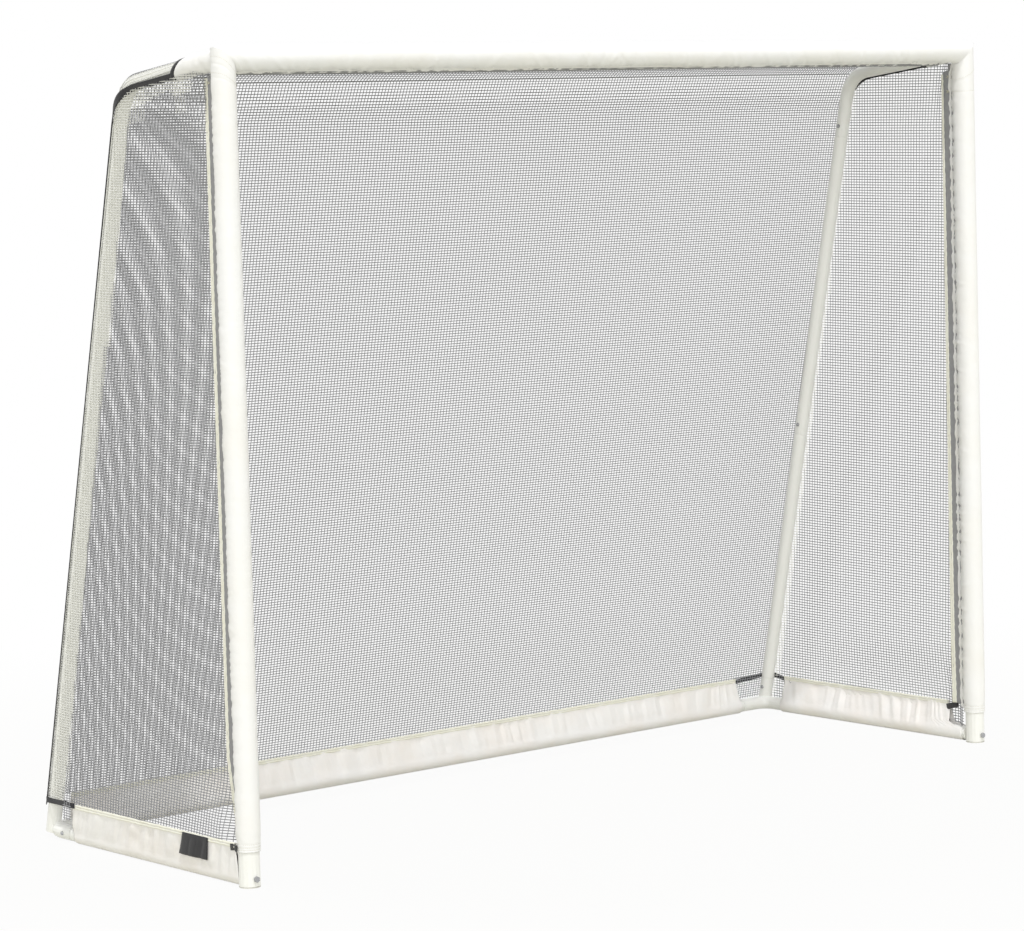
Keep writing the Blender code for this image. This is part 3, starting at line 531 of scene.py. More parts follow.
def sleeve_points(length, seed, leaf_end, lean_in, pitch, depth, fan_reach, fan_height):
    """Across and back over the section, for each place in length along the tube."""
    angle, reach, side = sleeve_section()
    length = length[:, None]
    gather = folds(length, pitch, seed)
    fine = folds(length, pitch * 0.37, seed + 7)
    fans = [creases(length, SLEEVE_RADIUS * angle[None], seed + k, fan_reach) for k in (5, 6)]
    drift = uneven(length / 0.055 + angle * side * 0.9, angle * 1.2, seed + 3)
    dent = uneven(length / 0.16, angle * side, seed + 4)
    swell = (depth * gather + FINE_DEPTH * fine) * np.exp(-(angle / GATHER_SPREAD) ** 2)
    swell += fan_height * np.where(side > 0, *fans)
    swell += DRIFT_DEPTH * np.exp(-angle / radians(85)) * drift + DENT_DEPTH * dent
    dist = np.maximum(reach + swell, TUBE_SKIN)
    across = dist * np.sin(angle) * side + SEAM_SWAY * gather * np.exp(-angle / radians(12))
    back = dist * np.cos(angle)
    across += lean_in * rise(back, LEAN_FROM, NECK)
    out = np.linspace(NECK, leaf_end, FLANGE_POINTS + 1)[1:]
    sway = (SEAM_SWAY * gather + 0.0010 * fine) * (leaf_end - out) / (leaf_end - NECK) + lean_in
    leaf = out + SCALLOP * gather * rise(out, NECK, leaf_end)
    first = np.stack([sway + LEAF_GAP, leaf], -1)[:, ::-1]
    last = np.stack([sway - LEAF_GAP, leaf], -1)
    return np.concatenate([first, np.stack([across, back], -1), last], 1)


# %% [markdown]
# The hood over the corner has a mitre seam with a blunt corner, and rows of stitching below it. A
# groove of a few tenths of a millimetre stands for the pull of the thread, and the stitches themselves
# are made further on. At the foot the flange runs out, and the sleeve is round again and hugs the tube.

# %% Shape of the post sleeves
SLEEVE_FOOT = 0.066
HOOD_SEAMS = {-1: (BAR_Z - 0.0257, BAR_Z - 0.0454), 1: (BAR_Z - 0.0530, BAR_Z - 0.0850)}
CUFF_SEAMS = (SLEEVE_FOOT + 0.004, SLEEVE_FOOT + 0.0085, SLEEVE_FOOT + 0.0150)
FLANGE_END = 0.0605
FLANGE_IN = {-1: 0.0040, 1: 0.0005}     # the flange leans this far towards the inside of the goal
FLANGE_LOW, FLANGE_KNEE = 0.080, 0.230
FLANGE_TOP = {-1: BAR_Z - 0.0340, 1: BAR_Z - 0.0445}
FOOT_END = {-1: 0.0350, 1: 0.0585}      # the flange's reach at its foot; the left one is drawn in
STRIP_TOP = BAR_Z - 0.0250              # the grey strip of painted shade and the side net reach up to here
SHORT_FLANGE = 0.75                     # what is left of the flange between its top and the strip's
BLUNT = 0.17
ROUND_BACK = 0.9 * SLEEVE_RADIUS
SEAM_LEFT = 0.06                        # share of its reach that a flange keeps where it runs out
FOOT_HUG, HUG_HEIGHT = 0.060, 0.050     # the foot is drawn in by this share, up to this height
FOOT_RADIUS = 0.0211                    # and no further than this
HEM_IN, HEM_UP = 0.96, 0.0004


def flange_reach(side, z):
    """How far behind the post's axis the flange ends at a height."""
    return np.interp(z, [FLANGE_LOW, FLANGE_KNEE], [FOOT_END[side], FLANGE_END])


def flange_share(side, z):
    """How much of the full flange there is at a height."""
    share = (flange_reach(side, z) - ROUND_BACK) / (FLANGE_END - ROUND_BACK)
    short = SHORT_FLANGE * rise(z, STRIP_TOP + 0.004, STRIP_TOP - 0.002)
    full = rise(z, FLANGE_TOP[side] + 0.010, FLANGE_TOP[side] - 0.002)
    return share * rise(z, FLANGE_LOW - 0.014, FLANGE_LOW - 0.002) * between(short, 1, full)


def draw_in(back, share):
    """The section with only a share of its flange, and a trace of it where the share is 0."""
    kept = SEAM_LEFT + (1 - SEAM_LEFT) * share[:, None]
    return np.where(back > ROUND_BACK, between(ROUND_BACK, back, kept), back)


def groove(z, seams, depth=0.0004, width=0.0016):
    return -depth * sum(np.exp(-((z - seam) / width) ** 2) for seam in seams)


def blunt(out):
    """The mitre's corner, a little lower than a sharp one, for a distance out from the axis."""
    return out * (1 - BLUNT * rise(out, SLEEVE_RADIUS / 2, SLEEVE_RADIUS))


def close_ended(first, last, spacing, start, end):
    """Places from first to last, closer at the ends; start and end are (length, count) there."""
    near, far = first + start[0], last - end[0]
    return np.unique(np.concatenate([
        np.linspace(first, near, start[1]), np.arange(near, far, spacing), np.linspace(far, last, end[1])]))


# %% Make the post sleeves
def post_sleeve(word, side):
    rows = close_ended(SLEEVE_FOOT, BAR_Z, 0.0021, (0.03, 28), (0.05, 40))
    section = sleeve_points(rows, 11 + side, LEAF_END, FLANGE_IN[side], **POST_GATHERS)
    across, back = section[..., 0], draw_in(section[..., 1], flange_share(side, rows))
    z = rows[:, None]
    radius = np.hypot(across, back)
    hug = FOOT_HUG * rise(z, SLEEVE_FOOT + HUG_HEIGHT, SLEEVE_FOOT) * rise(radius, 0.031, 0.025)
    hug = np.minimum(hug, 1 - np.minimum(FOOT_RADIUS / radius, 1))
    pull = 1 - hug + groove(z, HOOD_SEAMS[side] + CUFF_SEAMS) / radius
    share = (z - SLEEVE_FOOT) / (BAR_Z - SLEEVE_FOOT)
    mitred = z + blunt(-across) * rise(share, 0.93, 1)
    grid = xyz(side * (POST_X - across * pull), POST_Y + back * pull, mitred)
    axis = np.array([side * POST_X, POST_Y, 0.0])
    hem = axis + (grid[0] - axis) * (HEM_IN, HEM_IN, 1) + (0, 0, HEM_UP)
    hemmed = np.concatenate([hem[None], grid])
    faces = outward(hemmed, grid_faces(*hemmed.shape[:2]), axis + hemmed * (0, 0, 1))
    obj = piece("sleeve_post_" + word, hemmed, faces, SLEEVE_LOOK, "cloth")
    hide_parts("post_sleeve_" + word)
    print("sleeve_post_" + word, len(rows), "rows of", across.shape[1], "points")
    return grid


SLEEVE_GRIDS = {word: post_sleeve(word, side) for word, side in SIDES}

# %% [markdown]
# The crossbar's sleeve is the same strip turned to run along X. Its seam lies behind and below the
# bar, so the creases show under the bar, where they make the puckered lower edge. Its flange is
# short, and the roof net hangs from it.

# %% Make the crossbar sleeve
BAR_SEAM_DROP = radians(36)
BAR_FLANGE_END = 0.0440
BAR_START = 2.0            # added to X, so that folds along the bar count from a number over 0


def behind_bar(out):
    """How far behind and below the crossbar's axis its flange is, for a distance out along it."""
    return out * cos(BAR_SEAM_DROP), out * sin(BAR_SEAM_DROP)


def crossbar_sleeve():
    rows = close_ended(-POST_X, POST_X, 0.0022, (0.06, 30), (0.06, 30))
    section = sleeve_points(rows + BAR_START, 31, BAR_FLANGE_END, 0.0, **BAR_GATHERS)
    across = section[..., 0]
    back = draw_in(section[..., 1], rise(np.abs(rows), POST_X - 0.030, POST_X - 0.050))
    behind = back * cos(BAR_SEAM_DROP) - across * sin(BAR_SEAM_DROP)
    up = -back * sin(BAR_SEAM_DROP) - across * cos(BAR_SEAM_DROP)
    x = rows[:, None]
    closeness = np.abs(x) / POST_X
    mitred = x + np.sign(x) * up * rise(closeness, 0.95, 1)
    up = between(up, blunt(up), rise(closeness, 0.97, 1))
    grid = xyz(mitred, POST_Y + behind, BAR_Z + up)
    axis = grid * (1, 0, 0) + (0, POST_Y, BAR_Z)
    faces = outward(grid, grid_faces(*grid.shape[:2]), axis)
    obj = piece("sleeve_crossbar", grid, faces, SLEEVE_LOOK, "cloth")
    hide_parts("crossbar_sleeve")


crossbar_sleeve()

# %% [markdown]
# Flat ribbons along a line come up often: bindings, straps, tapes and tabs. `band` makes one with
# rounded edges from a line of points, the way it faces, and its width. A sewn one has a groove along
# the middle of both faces, where the stitches pull it in.

# %% Bands along a line
FLAT_BAND = ((-1, 0), (-0.92, 1), (-0.5, 1.35), (0.5, 1.35), (0.92, 1), (1, 0), (0.92, -1), (-0.92, -1))
SEWN_BAND = ((-1, 0), (-0.85, 1.2), (-0.2, 1.2), (0.0, 0.5), (0.2, 1.2), (0.85, 1.2), (1, 0), (0.85, -1.2),
             (0.2, -1.2), (0.0, -0.5), (-0.2, -1.2), (-0.85, -1.2))
WEBBING_THICK = 0.0014


def band(name, line, facing, width, thick, look, slot, section=FLAT_BAND):
    """A band with soft edges; facing is the way its broad side looks, one for all or one a point."""
    run = unit(np.gradient(line, axis=0))
    across = unit(np.cross(run, facing))
    facing = np.cross(across, run)
    grid = np.stack([line + across * (a * width / 2) + facing * (b * thick / 2) for a, b in section], 1)
    sides = len(section)
    half = sides // 2
    rungs = [[k, k + 1, sides - 1 - k, sides - k] for k in range(1, half - 1)]
    caps = np.array([[0, 1, sides - 1, 0], *rungs, [half - 1, half, half + 1, half - 1]])
    last = (len(line) - 1) * sides
    faces = np.vstack([grid_faces(len(line), sides, looped=True), caps[:, ::-1], caps + last])
    obj = piece(name, grid, faces, look, slot)
    obj.data.validate()
    return obj


# %% [markdown]
# ## Bindings and cuffs
# A grey strip of painted shade comes out between the scalloped edges of the sleeve: a dark sheet for
# the shadow in the gathered flange behind the post. The binding behind it is a folded cream tape that
# holds the edge of the side net. Both wander by a millimetre or two with the gathers. Under the
# crossbar a grey strip of painted shade shows below the sleeve, for the shadow at its seam.

# %% Bind the flanges
BINDING_WIDTH = {-1: (0.0090, 0.0100), 1: (0.0130, 0.0056)}     # at the foot and at the top
STRIP_FRONT, STRIP_FRONT_TOP = 0.0290, 0.0335
STRIP_NARROW = 0.0425      # above the flange the strip reaches back only this far
STRIP_WALL = 0.0010
BINDING_FOLD = 0.0026      # thickness of the folded tape
STRIP_COLUMNS = np.linspace(0, 1, 5)


def above_flange(side, z):
    return rise(z, FLANGE_TOP[side], FLANGE_TOP[side] + 0.004)


def strip_rear(side, z):
    """How far behind the post's axis the grey strip of painted shade ends at a height."""
    return between(flange_reach(side, z) - 0.0022, STRIP_NARROW, above_flange(side, z))


def flange_binding(word, side):
    z = np.linspace(FLANGE_LOW, STRIP_TOP, 300)[:, None]
    x = side * (POST_X - FLANGE_IN[side] - 0.0009 * folds(z, 0.021, 11 + side))
    back = flange_reach(side, z) - 0.0012 + 0.0006 * folds(z, 0.016, 17 + side)
    line = np.hstack([x, POST_Y + back, z])[z[:, 0] < FLANGE_TOP[side]]
    width = np.interp(line[:, 2:], [FLANGE_LOW, FLANGE_TOP[side]], BINDING_WIDTH[side])
    band("binding_post_" + word, line, (side, 0, 0), width, BINDING_FOLD, BINDING_LOOK, "cloth", SEWN_BAND)
    # The grey strip between the binding and the sleeve is painted shade, for the shadow in the flange behind
    # the post.
    front = between(STRIP_FRONT, STRIP_FRONT_TOP, above_flange(side, z))
    grid = xyz(x, POST_Y + between(front, strip_rear(side, z), STRIP_COLUMNS), z)
    cloth("shade_strip_" + word, grid, SHADE_STRIP_LOOK, "webbing", STRIP_WALL)


def bar_shade_strip():
    # A grey strip of painted shade shows under the crossbar's sleeve, for the shadow at its gathered seam.
    x = np.linspace(-1, 1, 500)[:, None] * (POST_X - 0.036)
    out = between(0.0340, BAR_FLANGE_END + 0.0062, STRIP_COLUMNS)
    behind, below = behind_bar(out + 0.0012 * folds(x + BAR_START, 0.019, 35))
    grid = xyz(x, POST_Y + behind, BAR_Z - below)
    cloth("shade_strip_bar", grid, SHADE_STRIP_LOOK, "webbing", STRIP_WALL)


for word, side in SIDES:
    flange_binding(word, side)
bar_shade_strip()

# %% [markdown]
# Angles round an arm or a stay are counted from straight out to the side: 90 degrees is the way out of
# the net, and minus 90 is the inner face. A short cuff carries the sleeve's cloth on to the arm. Its end
# is cut on a slant, longer below than on top, and bound in black.

# %% Cuffs on the arms
NET_RADIUS = 0.0166        # nets and tape lie this far from the axis of an arm or a stay
CUFF_START = 0.010
CUFF_MIDDLE = {-1: 0.1375, 1: 0.092}     # the right cuff has slid up to its post
CUFF_SLANT = 0.016         # the cuff's end is this much nearer on top and further below
CUFF_RADIUS = 0.0188
CUFF_SKIN = 0.0204         # what is sewn over the cuff lies this far from the axis
ROUND_ARM = np.linspace(0, 2 * np.pi, 28, endpoint=False)[None]
BOUND_HALF, BOUND_RADIUS, BOUND_THICK = 0.0078, 0.0174, 0.0020      # the cuff's bound end


def round_tube(rail, s, angle, radius):
    """Points on a tube's skin at an angle from the side towards the way out, and the way they face."""
    place, _run, out = rail.at(s)
    angle = np.broadcast_to(angle, np.shape(s))[..., None]
    facing = out * np.sin(angle) + X_AXIS * rail.side * np.cos(angle)
    return place + facing * radius, facing


def arm_cuff(word, side):
    cuff_end = CUFF_MIDDLE[side] - CUFF_SLANT * np.sin(ROUND_ARM)
    share = np.linspace(0, 1, 56)[:, None]
    s = between(CUFF_START, cuff_end, share)
    slack = 0.0009 * uneven(s / 0.011, 0.8 * ROUND_ARM, 51 + side)
    radius = CUFF_RADIUS + slack - 0.0010 * rise(share, 0.92, 1)
    grid = round_tube(RAILS[side], s, ROUND_ARM, radius[..., None])[0]
    obj = cloth("cuff_arm_" + word, grid, SLEEVE_LOOK, "cloth", CLOTH_WALL, looped=True)
    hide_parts("arm_cuff_" + word)
    "top_arm_" + word
    t = np.linspace(-1, 1, 9)[:, None]
    dent = 0.0003 * uneven(2 * t, 2 * ROUND_ARM, 55)
    radius = BOUND_RADIUS + BOUND_THICK * np.sqrt(1 - 0.9 * t ** 2) + dent
    ring = round_tube(RAILS[side], cuff_end + BOUND_HALF * t, ROUND_ARM, radius[..., None])[0]
    cloth("cuff_binding_" + word, ring, WEB_LOOK, "webbing", CLOTH_WALL, looped=True)


for word, side in SIDES:
    arm_cuff(word, side)

# %% [markdown]
# ## Skirts on the ground tubes
# Each ground tube lies in a pocket of white cloth whose flap stands up to meet the net, with a cream
# binding along the top. The cloth is gathered into the binding, so upright folds run down the flap and
# fade on the pocket. A skirt is cut on a slant where it ends near a corner.

# %% Surface of a skirt
SKIRT_TOP = 0.0770
POCKET = 0.0162
POCKET_LOW = 0.0158        # the pocket is pressed flat on the ground, this far under the tube's axis
FLAP_HALF = 0.0012         # half of the flap's thickness at the top
OUTER_POINTS = 12          # points of the section on the outer side of the flap
SLANT_FADE = 0.15          # a slanted end changes the rows over this length
FOLD_PITCH, SMALL_FOLD_PITCH = 0.056, 0.0250
FOLD_DEPTH, SLACK_DEPTH = 0.0036, 0.0014
SKIRT_STEP = 0.0030        # between two rows of a skirt's points


def skirt_section(flap):
    """Outward and up over the section, from the flap's inner face under the tube to its outer face."""
    turn = np.radians(np.linspace(135, 372, 22))
    around = np.stack([POCKET * np.cos(turn), GROUND_Z + np.maximum(POCKET * np.sin(turn), -POCKET_LOW)], -1)
    heights = np.linspace(SKIRT_TOP, around[0, 1], 11)[:-1]
    inner = np.interp(heights, [around[0, 1], SKIRT_TOP - 0.012, SKIRT_TOP],
                      [around[0, 0], flap - 0.0018, flap - FLAP_HALF])
    outer = np.linspace(around[-1], (flap + FLAP_HALF, SKIRT_TOP), OUTER_POINTS + 1)[1:]
    return np.vstack([np.stack([inner, heights], -1), around, outer])


def skirt_grid(flap, front, rear, seed, slant):
    """Along, outward and up over a skirt. front and rear are its ends, as (height, place) pairs.

    slant is how far a fold runs along the skirt for each step down."""
    first, last = min(place for _, place in front), max(place for _, place in rear)
    along = np.linspace(first, last, int((last - first) / SKIRT_STEP))[:, None]
    section = skirt_section(flap)
    tangent = unit(np.gradient(section, axis=0))
    out, up = section.T
    begin, end = np.interp(up, *zip(*front)), np.interp(up, *zip(*rear))
    run = along + (begin - first) * rise(along, first + SLANT_FADE, first)
    run = run - (last - end) * rise(along, last - SLANT_FADE, last)
    lean = run + up * (slant + 0.35 * uneven(run / 0.09, 0.3, seed + 5))
    gather = folds(lean, FOLD_PITCH, seed) + 0.42 * folds(lean * 1.01, SMALL_FOLD_PITCH, seed + 9)
    soft = uneven(run / 0.05, up / 0.02, seed + 2)
    swell = FOLD_DEPTH * gather * rise(up, 0.012, 0.042) + SLACK_DEPTH * soft * rise(up, 0.004, 0.016)
    swell = swell * (1 - 0.75 * rise(up, SKIRT_TOP - 0.016, SKIRT_TOP - 0.002))
    scallop = 0.0007 * folds(along, 0.034, seed) * (up > 0.07)
    return run, out + tangent[:, 1] * swell, np.maximum(up - tangent[:, 0] * swell + scallop, 0.0006)


# %% [markdown]
# The ends differ from corner to corner, as the skirts have slid along the tubes. Each is given as
# heights with distances: in front behind the post's axis, in the rear before the back tube's axis, and
# on the back skirt from the post's plane. On the right the flap is cut back further than the pocket.

# %% Make the skirts
SIDE_FRONT_END = {-1: ((0.016, 0.0110), (0.077, 0.0195)),
                  1: ((0.016, 0.0270), (0.028, 0.0320), (0.036, 0.0720), (0.077, 0.0890))}
SIDE_REAR_END = {-1: ((0.016, 0.0970), (0.077, 0.0960)), 1: ((0.016, 0.0660), (0.077, 0.0530))}
BACK_END = {-1: ((0.016, 0.0480), (0.077, 0.0465)), 1: ((0.016, 0.0870), (0.077, 0.0900))}
TOP = -1                   # the last pair of an end is the one at the binding
FOLD_SLANT = {-1: 0.45, 0: -0.15, 1: -0.60}
SIDE_FLAP, BACK_FLAP = 0.0160, 0.0035


def side_skirt(word, side):
    rear = [(height, DEPTH - gap) for height, gap in SIDE_REAR_END[side]]
    run, outward, up = skirt_grid(SIDE_FLAP, SIDE_FRONT_END[side], rear, 61 + side, FOLD_SLANT[side])
    grid = xyz(side * (POST_X + outward), POST_Y + run, up)
    obj = cloth("skirt_side_" + word, grid, SKIRT_LOOK, "cloth", CLOTH_WALL)
    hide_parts("side_skirt_" + word)
    (run.max() - run.min()) * 1.06
    return grid


def back_skirt():
    ends = [[(height, side * (POST_X - gap)) for height, gap in BACK_END[side]] for side in (-1, 1)]
    run, outward, up = skirt_grid(BACK_FLAP, ends[0], ends[1], 71, FOLD_SLANT[0])
    grid = xyz(run, BACK_Y + outward, up)
    obj = cloth("skirt_back", grid[:, ::-1], SKIRT_LOOK, "cloth", CLOTH_WALL)
    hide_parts("back_skirt")
    (run.max() - run.min()) * 1.06
    return grid


SKIRT_GRIDS = {word: side_skirt(word, side) for word, side in SIDES}
SKIRT_GRIDS["back"] = back_skirt()

# %% [markdown]
# The top edge of a skirt is bound with the same cream tape, folded over the edge and stitched along
# its middle. It is drawn along the skirt's own top line.

# %% Bind the skirts
SKIRT_BINDING_WIDTH, SKIRT_BINDING_FOLD = 0.0094, 0.0046


def skirt_binding(name, grid, facing):
    line = (grid[:, 0] + grid[:, -1]) / 2 - (0, 0, 0.0015)
    band(name, line, facing, SKIRT_BINDING_WIDTH, SKIRT_BINDING_FOLD, BINDING_LOOK, "cloth", SEWN_BAND)


for word, side in SIDES:
    skirt_binding("binding_side_" + word, SKIRT_GRIDS[word], (side, 0.0, 0.1))
skirt_binding("binding_back", SKIRT_GRIDS["back"], (0.0, 1.0, 0.1))

# %% [markdown]
# ## Webbing
# Black webbing covers the seam where the side net meets the roof and the back. On the arm it runs
# along the lower outer side. It crosses to the rear on the bend and goes down the outer rear edge of
# the stay.

# %% Seam tape down arm and stay
ARM_SEAM, STAY_SEAM = radians(-38), radians(41)
SEAM_LATE = (0.010, 0.028)     # the crossing starts and ends this far past the ends of the bend
# The tape is a little wider than the webbing itself, so its black also covers the shadow along it: real
# black tape, partly painted shade.
TAPE_WIDTH = 0.0148
TAPE_PAST_CUFF = 0.010
STRAP_TOP = {-1: 0.0775, 1: 0.0790}


def seam_angle(rail, s):
    start, stop = np.add(rail.bend, SEAM_LATE)
    return between(ARM_SEAM, STAY_SEAM, rise(s, start, stop))


def seam_tape(word, side):
    rail = RAILS[side]
    s = np.linspace(CUFF_MIDDLE[side] + TAPE_PAST_CUFF, rail.at_height(STRAP_TOP[side] - 0.012), 260)
    line, facing = round_tube(rail, s, seam_angle(rail, s), NET_RADIUS + 0.0012)
    obj = band("tape_seam_" + word, line, facing, TAPE_WIDTH, WEBBING_THICK, WEB_LOOK, "webbing")
    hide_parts("seam_tape_" + word)


for word, side in SIDES:
    seam_tape(word, side)

# %% [markdown]
# A strap of the same webbing ties the ends of the skirts together round the foot of each stay. It is
# level round the stay and then falls to the skirts, further at one end than at the other.

# %% Corner straps
STRAP_FALL = {-1: (0.030, -0.0005), 1: (0.009, 0.009)}      # to the back skirt and to the side skirt
STRAP_WIDTH = 0.0105
STRAP_ON_SKIRT = 0.012     # the strap is sewn on over this much of a skirt


def corner_strap(word, side):
    rail = RAILS[side]
    top = STRAP_TOP[side]
    foot = rail.at(rail.at_height(top))[0]
    reach = STAY_RADIUS + 0.0042
    turn = np.radians(np.linspace(90, 0, 9))
    bend = xyz(foot[0] + side * reach * np.cos(turn), foot[1] + reach * np.sin(turn), top)
    back_fall, side_fall = STRAP_FALL[side]
    back_end = np.array([side * (POST_X - BACK_END[side][TOP][1] - STRAP_ON_SKIRT),
                         BACK_Y + BACK_FLAP + 0.0034 + 0.25 * back_fall, top - back_fall])
    side_end = np.array([side * (POST_X + SIDE_FLAP + 0.0038),
                         BACK_Y - SIDE_REAR_END[side][TOP][1] - STRAP_ON_SKIRT, top - side_fall])
    share = np.linspace(0, 1, 8)[:-1, None]
    line = np.vstack([between(back_end, bend[0], share), bend, between(side_end, bend[-1], share)[::-1]])
    centre = np.array([side * (POST_X - 0.06), BACK_Y - 0.06, 0])
    facing = (line - centre) * (1, 1, 0)
    obj = band("strap_corner_" + word, line, facing, STRAP_WIDTH, WEBBING_THICK, WEB_LOOK, "webbing")
    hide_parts("corner_strap_" + word)


for word, side in SIDES:
    corner_strap(word, side)

# %% [markdown]
# ## The net
# The net is fine: its holes are a few millimetres, so a flat sheet with a see-through pattern would
# look thin from the side and blur when it is exported. Here each thread is a real four-sided cord.
# The mesh is cut from one cloth but stretched a little differently on each panel, so each panel has
# its own spacing of threads. Where threads lie on an arm or a stay they take a paler copy of the cord's
# finish, painted light for the bright tube behind them.

# %% Threads as one mesh
THREAD = 0.00178
ON_TUBE = 0.0205           # threads nearer to a rail's axis than this lie on its tube
BESIDE_TUBE = {-1: 0.048, 1: 0.0}       # outside the left stay the stretch of cord with painted light is wider
OUTER, FAR_OUT = 0.009, 0.013           # how far out to the side counts as outside, on and beside a tube
STRAY, WANDER = 0.0002, 0.0003          # a thread's distance from its even place, and its slow waver
LEFT, RIGHT = RAILS[-1], RAILS[1]


def cords(lines, facing, width):
    """Four-sided cords along lines, given as lines by points by xyz. Returns points and faces."""
    run = unit(np.gradient(lines, axis=1))
    across = unit(np.cross(run, facing))
    facing = np.cross(across, run)
    points = np.stack([lines + c * (width / 2) for c in (facing, across, -facing, -across)], 2)
    count, length = lines.shape[:2]
    caps = np.array([[0, 1, 2, 3], [(length - 1) * 4 + k for k in (3, 2, 1, 0)]])
    one = np.vstack([grid_faces(length, 4, looped=True), caps])
    faces = one + (np.arange(count) * length * 4)[:, None, None]
    return points.reshape(-1, 3), faces.reshape(-1, 4)


def cord_mesh(name, bundles, width):
    """Points and faces of all cords in bundles of (lines, facing)."""
    points, faces, start = [], [], 0
    for lines, facing in bundles:
        p, f = cords(lines, facing, width)
        points.append(p)
        faces.append(f + start)
        start += len(p)
    print(name, sum(len(lines) for lines, _ in bundles), "cords of", round(width * 1000, 2), "mm")
    return np.vstack(points), np.vstack(faces)


def on_tube(rail, points):
    """Which points lie on the outer half of an arm, its bend or its stay, or outside the left stay; their
    threads get the cord with painted light.
    """
    found = np.zeros(len(points), bool)
    for first, last in zip(rail.points[:-1], rail.points[1:]):
        span = last - first
        share = np.clip((points - first) @ span / (span @ span), 0, 1)[:, None]
        gap = points - first - span * share
        far, out = np.linalg.norm(gap, axis=1), gap[:, 0] * rail.side
        found |= (far < ON_TUBE) & (out > OUTER) | (far < BESIDE_TUBE[rail.side]) & (out > FAR_OUT)
    return found


def net_piece(name, node, *bundles):
    points, faces = cord_mesh(name, bundles, THREAD)
    obj = piece(name, points, faces, NET_LOOK, "net")
    obj.data.materials.append(NET_PAINTED_LIGHT_LOOK)
    # Threads on a tube, or beside the left stay, take the paler cord: painted light for the bright tube
    # behind them.
    middle = points[faces].mean(1)
    pale = on_tube(LEFT, middle) | on_tube(RIGHT, middle)
    obj.data.polygons.foreach_set("material_index", pale.astype(np.int32))
    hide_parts(node)


# %% [markdown]
# Roof and back are one sheet. Across, it lies flat between the two rails and then wraps round each
# tube as far as the seam. `sheet_place` gives the point for a distance along the rails and a distance
# from the middle of the cloth. In front the sheet dips to the flange of the crossbar's sleeve.

# %% Where the roof and back net lies
WINDOW_LOW = 0.026         # the net's foot beside the right corner fitting
CUFF_CLEAR = 0.022         # the roof net keeps this far from an arm's axis beside the cuff
NEXT_TO_CUFF = 0.004
behind, below = behind_bar(BAR_FLANGE_END)
flange = np.array([0, behind, -below])
_top, arm_run, arm_out = RIGHT.at(CUFF_START)
NET_FRONT = flange @ arm_run - 0.003
FRONT_DIP = NET_RADIUS - flange @ arm_out
WINDOW_SIDE = POST_X - BACK_END[1][TOP][1]      # the window is between here and the right stay


def sheet_place(s, c):
    """Points and ways out for s along the rails and c from the middle, which may be arrays."""
    s, c = np.broadcast_arrays(s, c)
    off = np.abs(c)
    top_left = round_tube(LEFT, s, np.pi / 2, NET_RADIUS)[0]
    top_right = round_tube(RIGHT, s, np.pi / 2, NET_RADIUS)[0]
    half = (top_right[..., 0] - top_left[..., 0]) / 2
    share = np.clip((c + half) / (2 * half), 0, 1)[..., None]
    out = RIGHT.at(s)[2]
    wave = 0.0010 * uneven(s / 0.30 + 3, c / 0.35 + 3, 5) * rise(off, half, half - 0.15)
    dip = FRONT_DIP * rise(s, NET_FRONT + 0.18, NET_FRONT) * rise(off, half - 0.01, half - 0.11)
    flat = between(top_left, top_right, share) + out * (wave - dip)[..., None]
    turned = np.pi / 2 - (off - half) / NET_RADIUS
    wrapped = np.where((c > 0)[..., None], round_tube(RIGHT, s, turned, NET_RADIUS)[0],
                       round_tube(LEFT, s, turned, NET_RADIUS)[0])
    away = out * np.sin(turned)[..., None] + X_AXIS * (np.sign(c) * np.cos(turned))[..., None]
    on_rail = (off > half)[..., None]
    return np.where(on_rail, wrapped, flat), np.where(on_rail, away, out)


def half_cloth(side, s):
    """From the sheet's middle to its edge at s: the flat part, and the wrap to the seam or the cuff."""
    half = (RIGHT.at(s)[0][..., 0] - LEFT.at(s)[0][..., 0]) / 2
    cuff = CUFF_MIDDLE[side] + NEXT_TO_CUFF
    lowest = np.arcsin(np.clip((cuff - s) / CUFF_SLANT, -1, 1))
    wrap = NET_RADIUS * (np.pi / 2 - np.maximum(lowest, seam_angle(RIGHT, s)))
    return np.where(s < cuff - CUFF_SLANT, half - CUFF_CLEAR, half + wrap)


def sheet_foot(c):
    """How far along the rails the sheet ends: at the skirt, or lower beside the right corner fitting."""
    window, skirt = RIGHT.at_height(WINDOW_LOW), RIGHT.at_height(SKIRT_TOP - 0.001)
    return np.where(c > WINDOW_SIDE - 0.006, window, skirt)


# %% Threads of the roof and back net
BACK_PITCH = 0.0078        # between the threads that run down
BACK_ROW = 0.00540         # between the threads that run across
bend_middle = sum(RIGHT.bend) / 2
skirt_line = RIGHT.at_height(SKIRT_TOP)


def sheet_down(start, stop, steps):
    """Threads that run down the sheet, from start to stop along the rails."""
    count = int(half_cloth(1, RIGHT.bend[0]) / BACK_PITCH)
    c = np.arange(-count, count + 1)[:, None] * BACK_PITCH
    c = c + STRAY * uneven(c / 0.02, 0.5, 8)
    table = np.linspace(max(start, NET_FRONT), stop, 600)
    inside = (half_cloth(1, table) >= c) & (half_cloth(-1, table) >= -c) & (table <= sheet_foot(c))
    kept = inside.sum(1) > 8
    c, inside = c[kept], inside[kept]
    first = table[inside.argmax(1)][:, None]
    last = table[len(table) - 1 - inside[:, ::-1].argmax(1)][:, None]
    s = between(first, last, np.linspace(0, 1, steps))
    drift = WANDER * uneven(s / 0.25, c / 0.08, 12)
    return sheet_place(s, c + drift * (np.abs(c) < POST_X - 0.02))


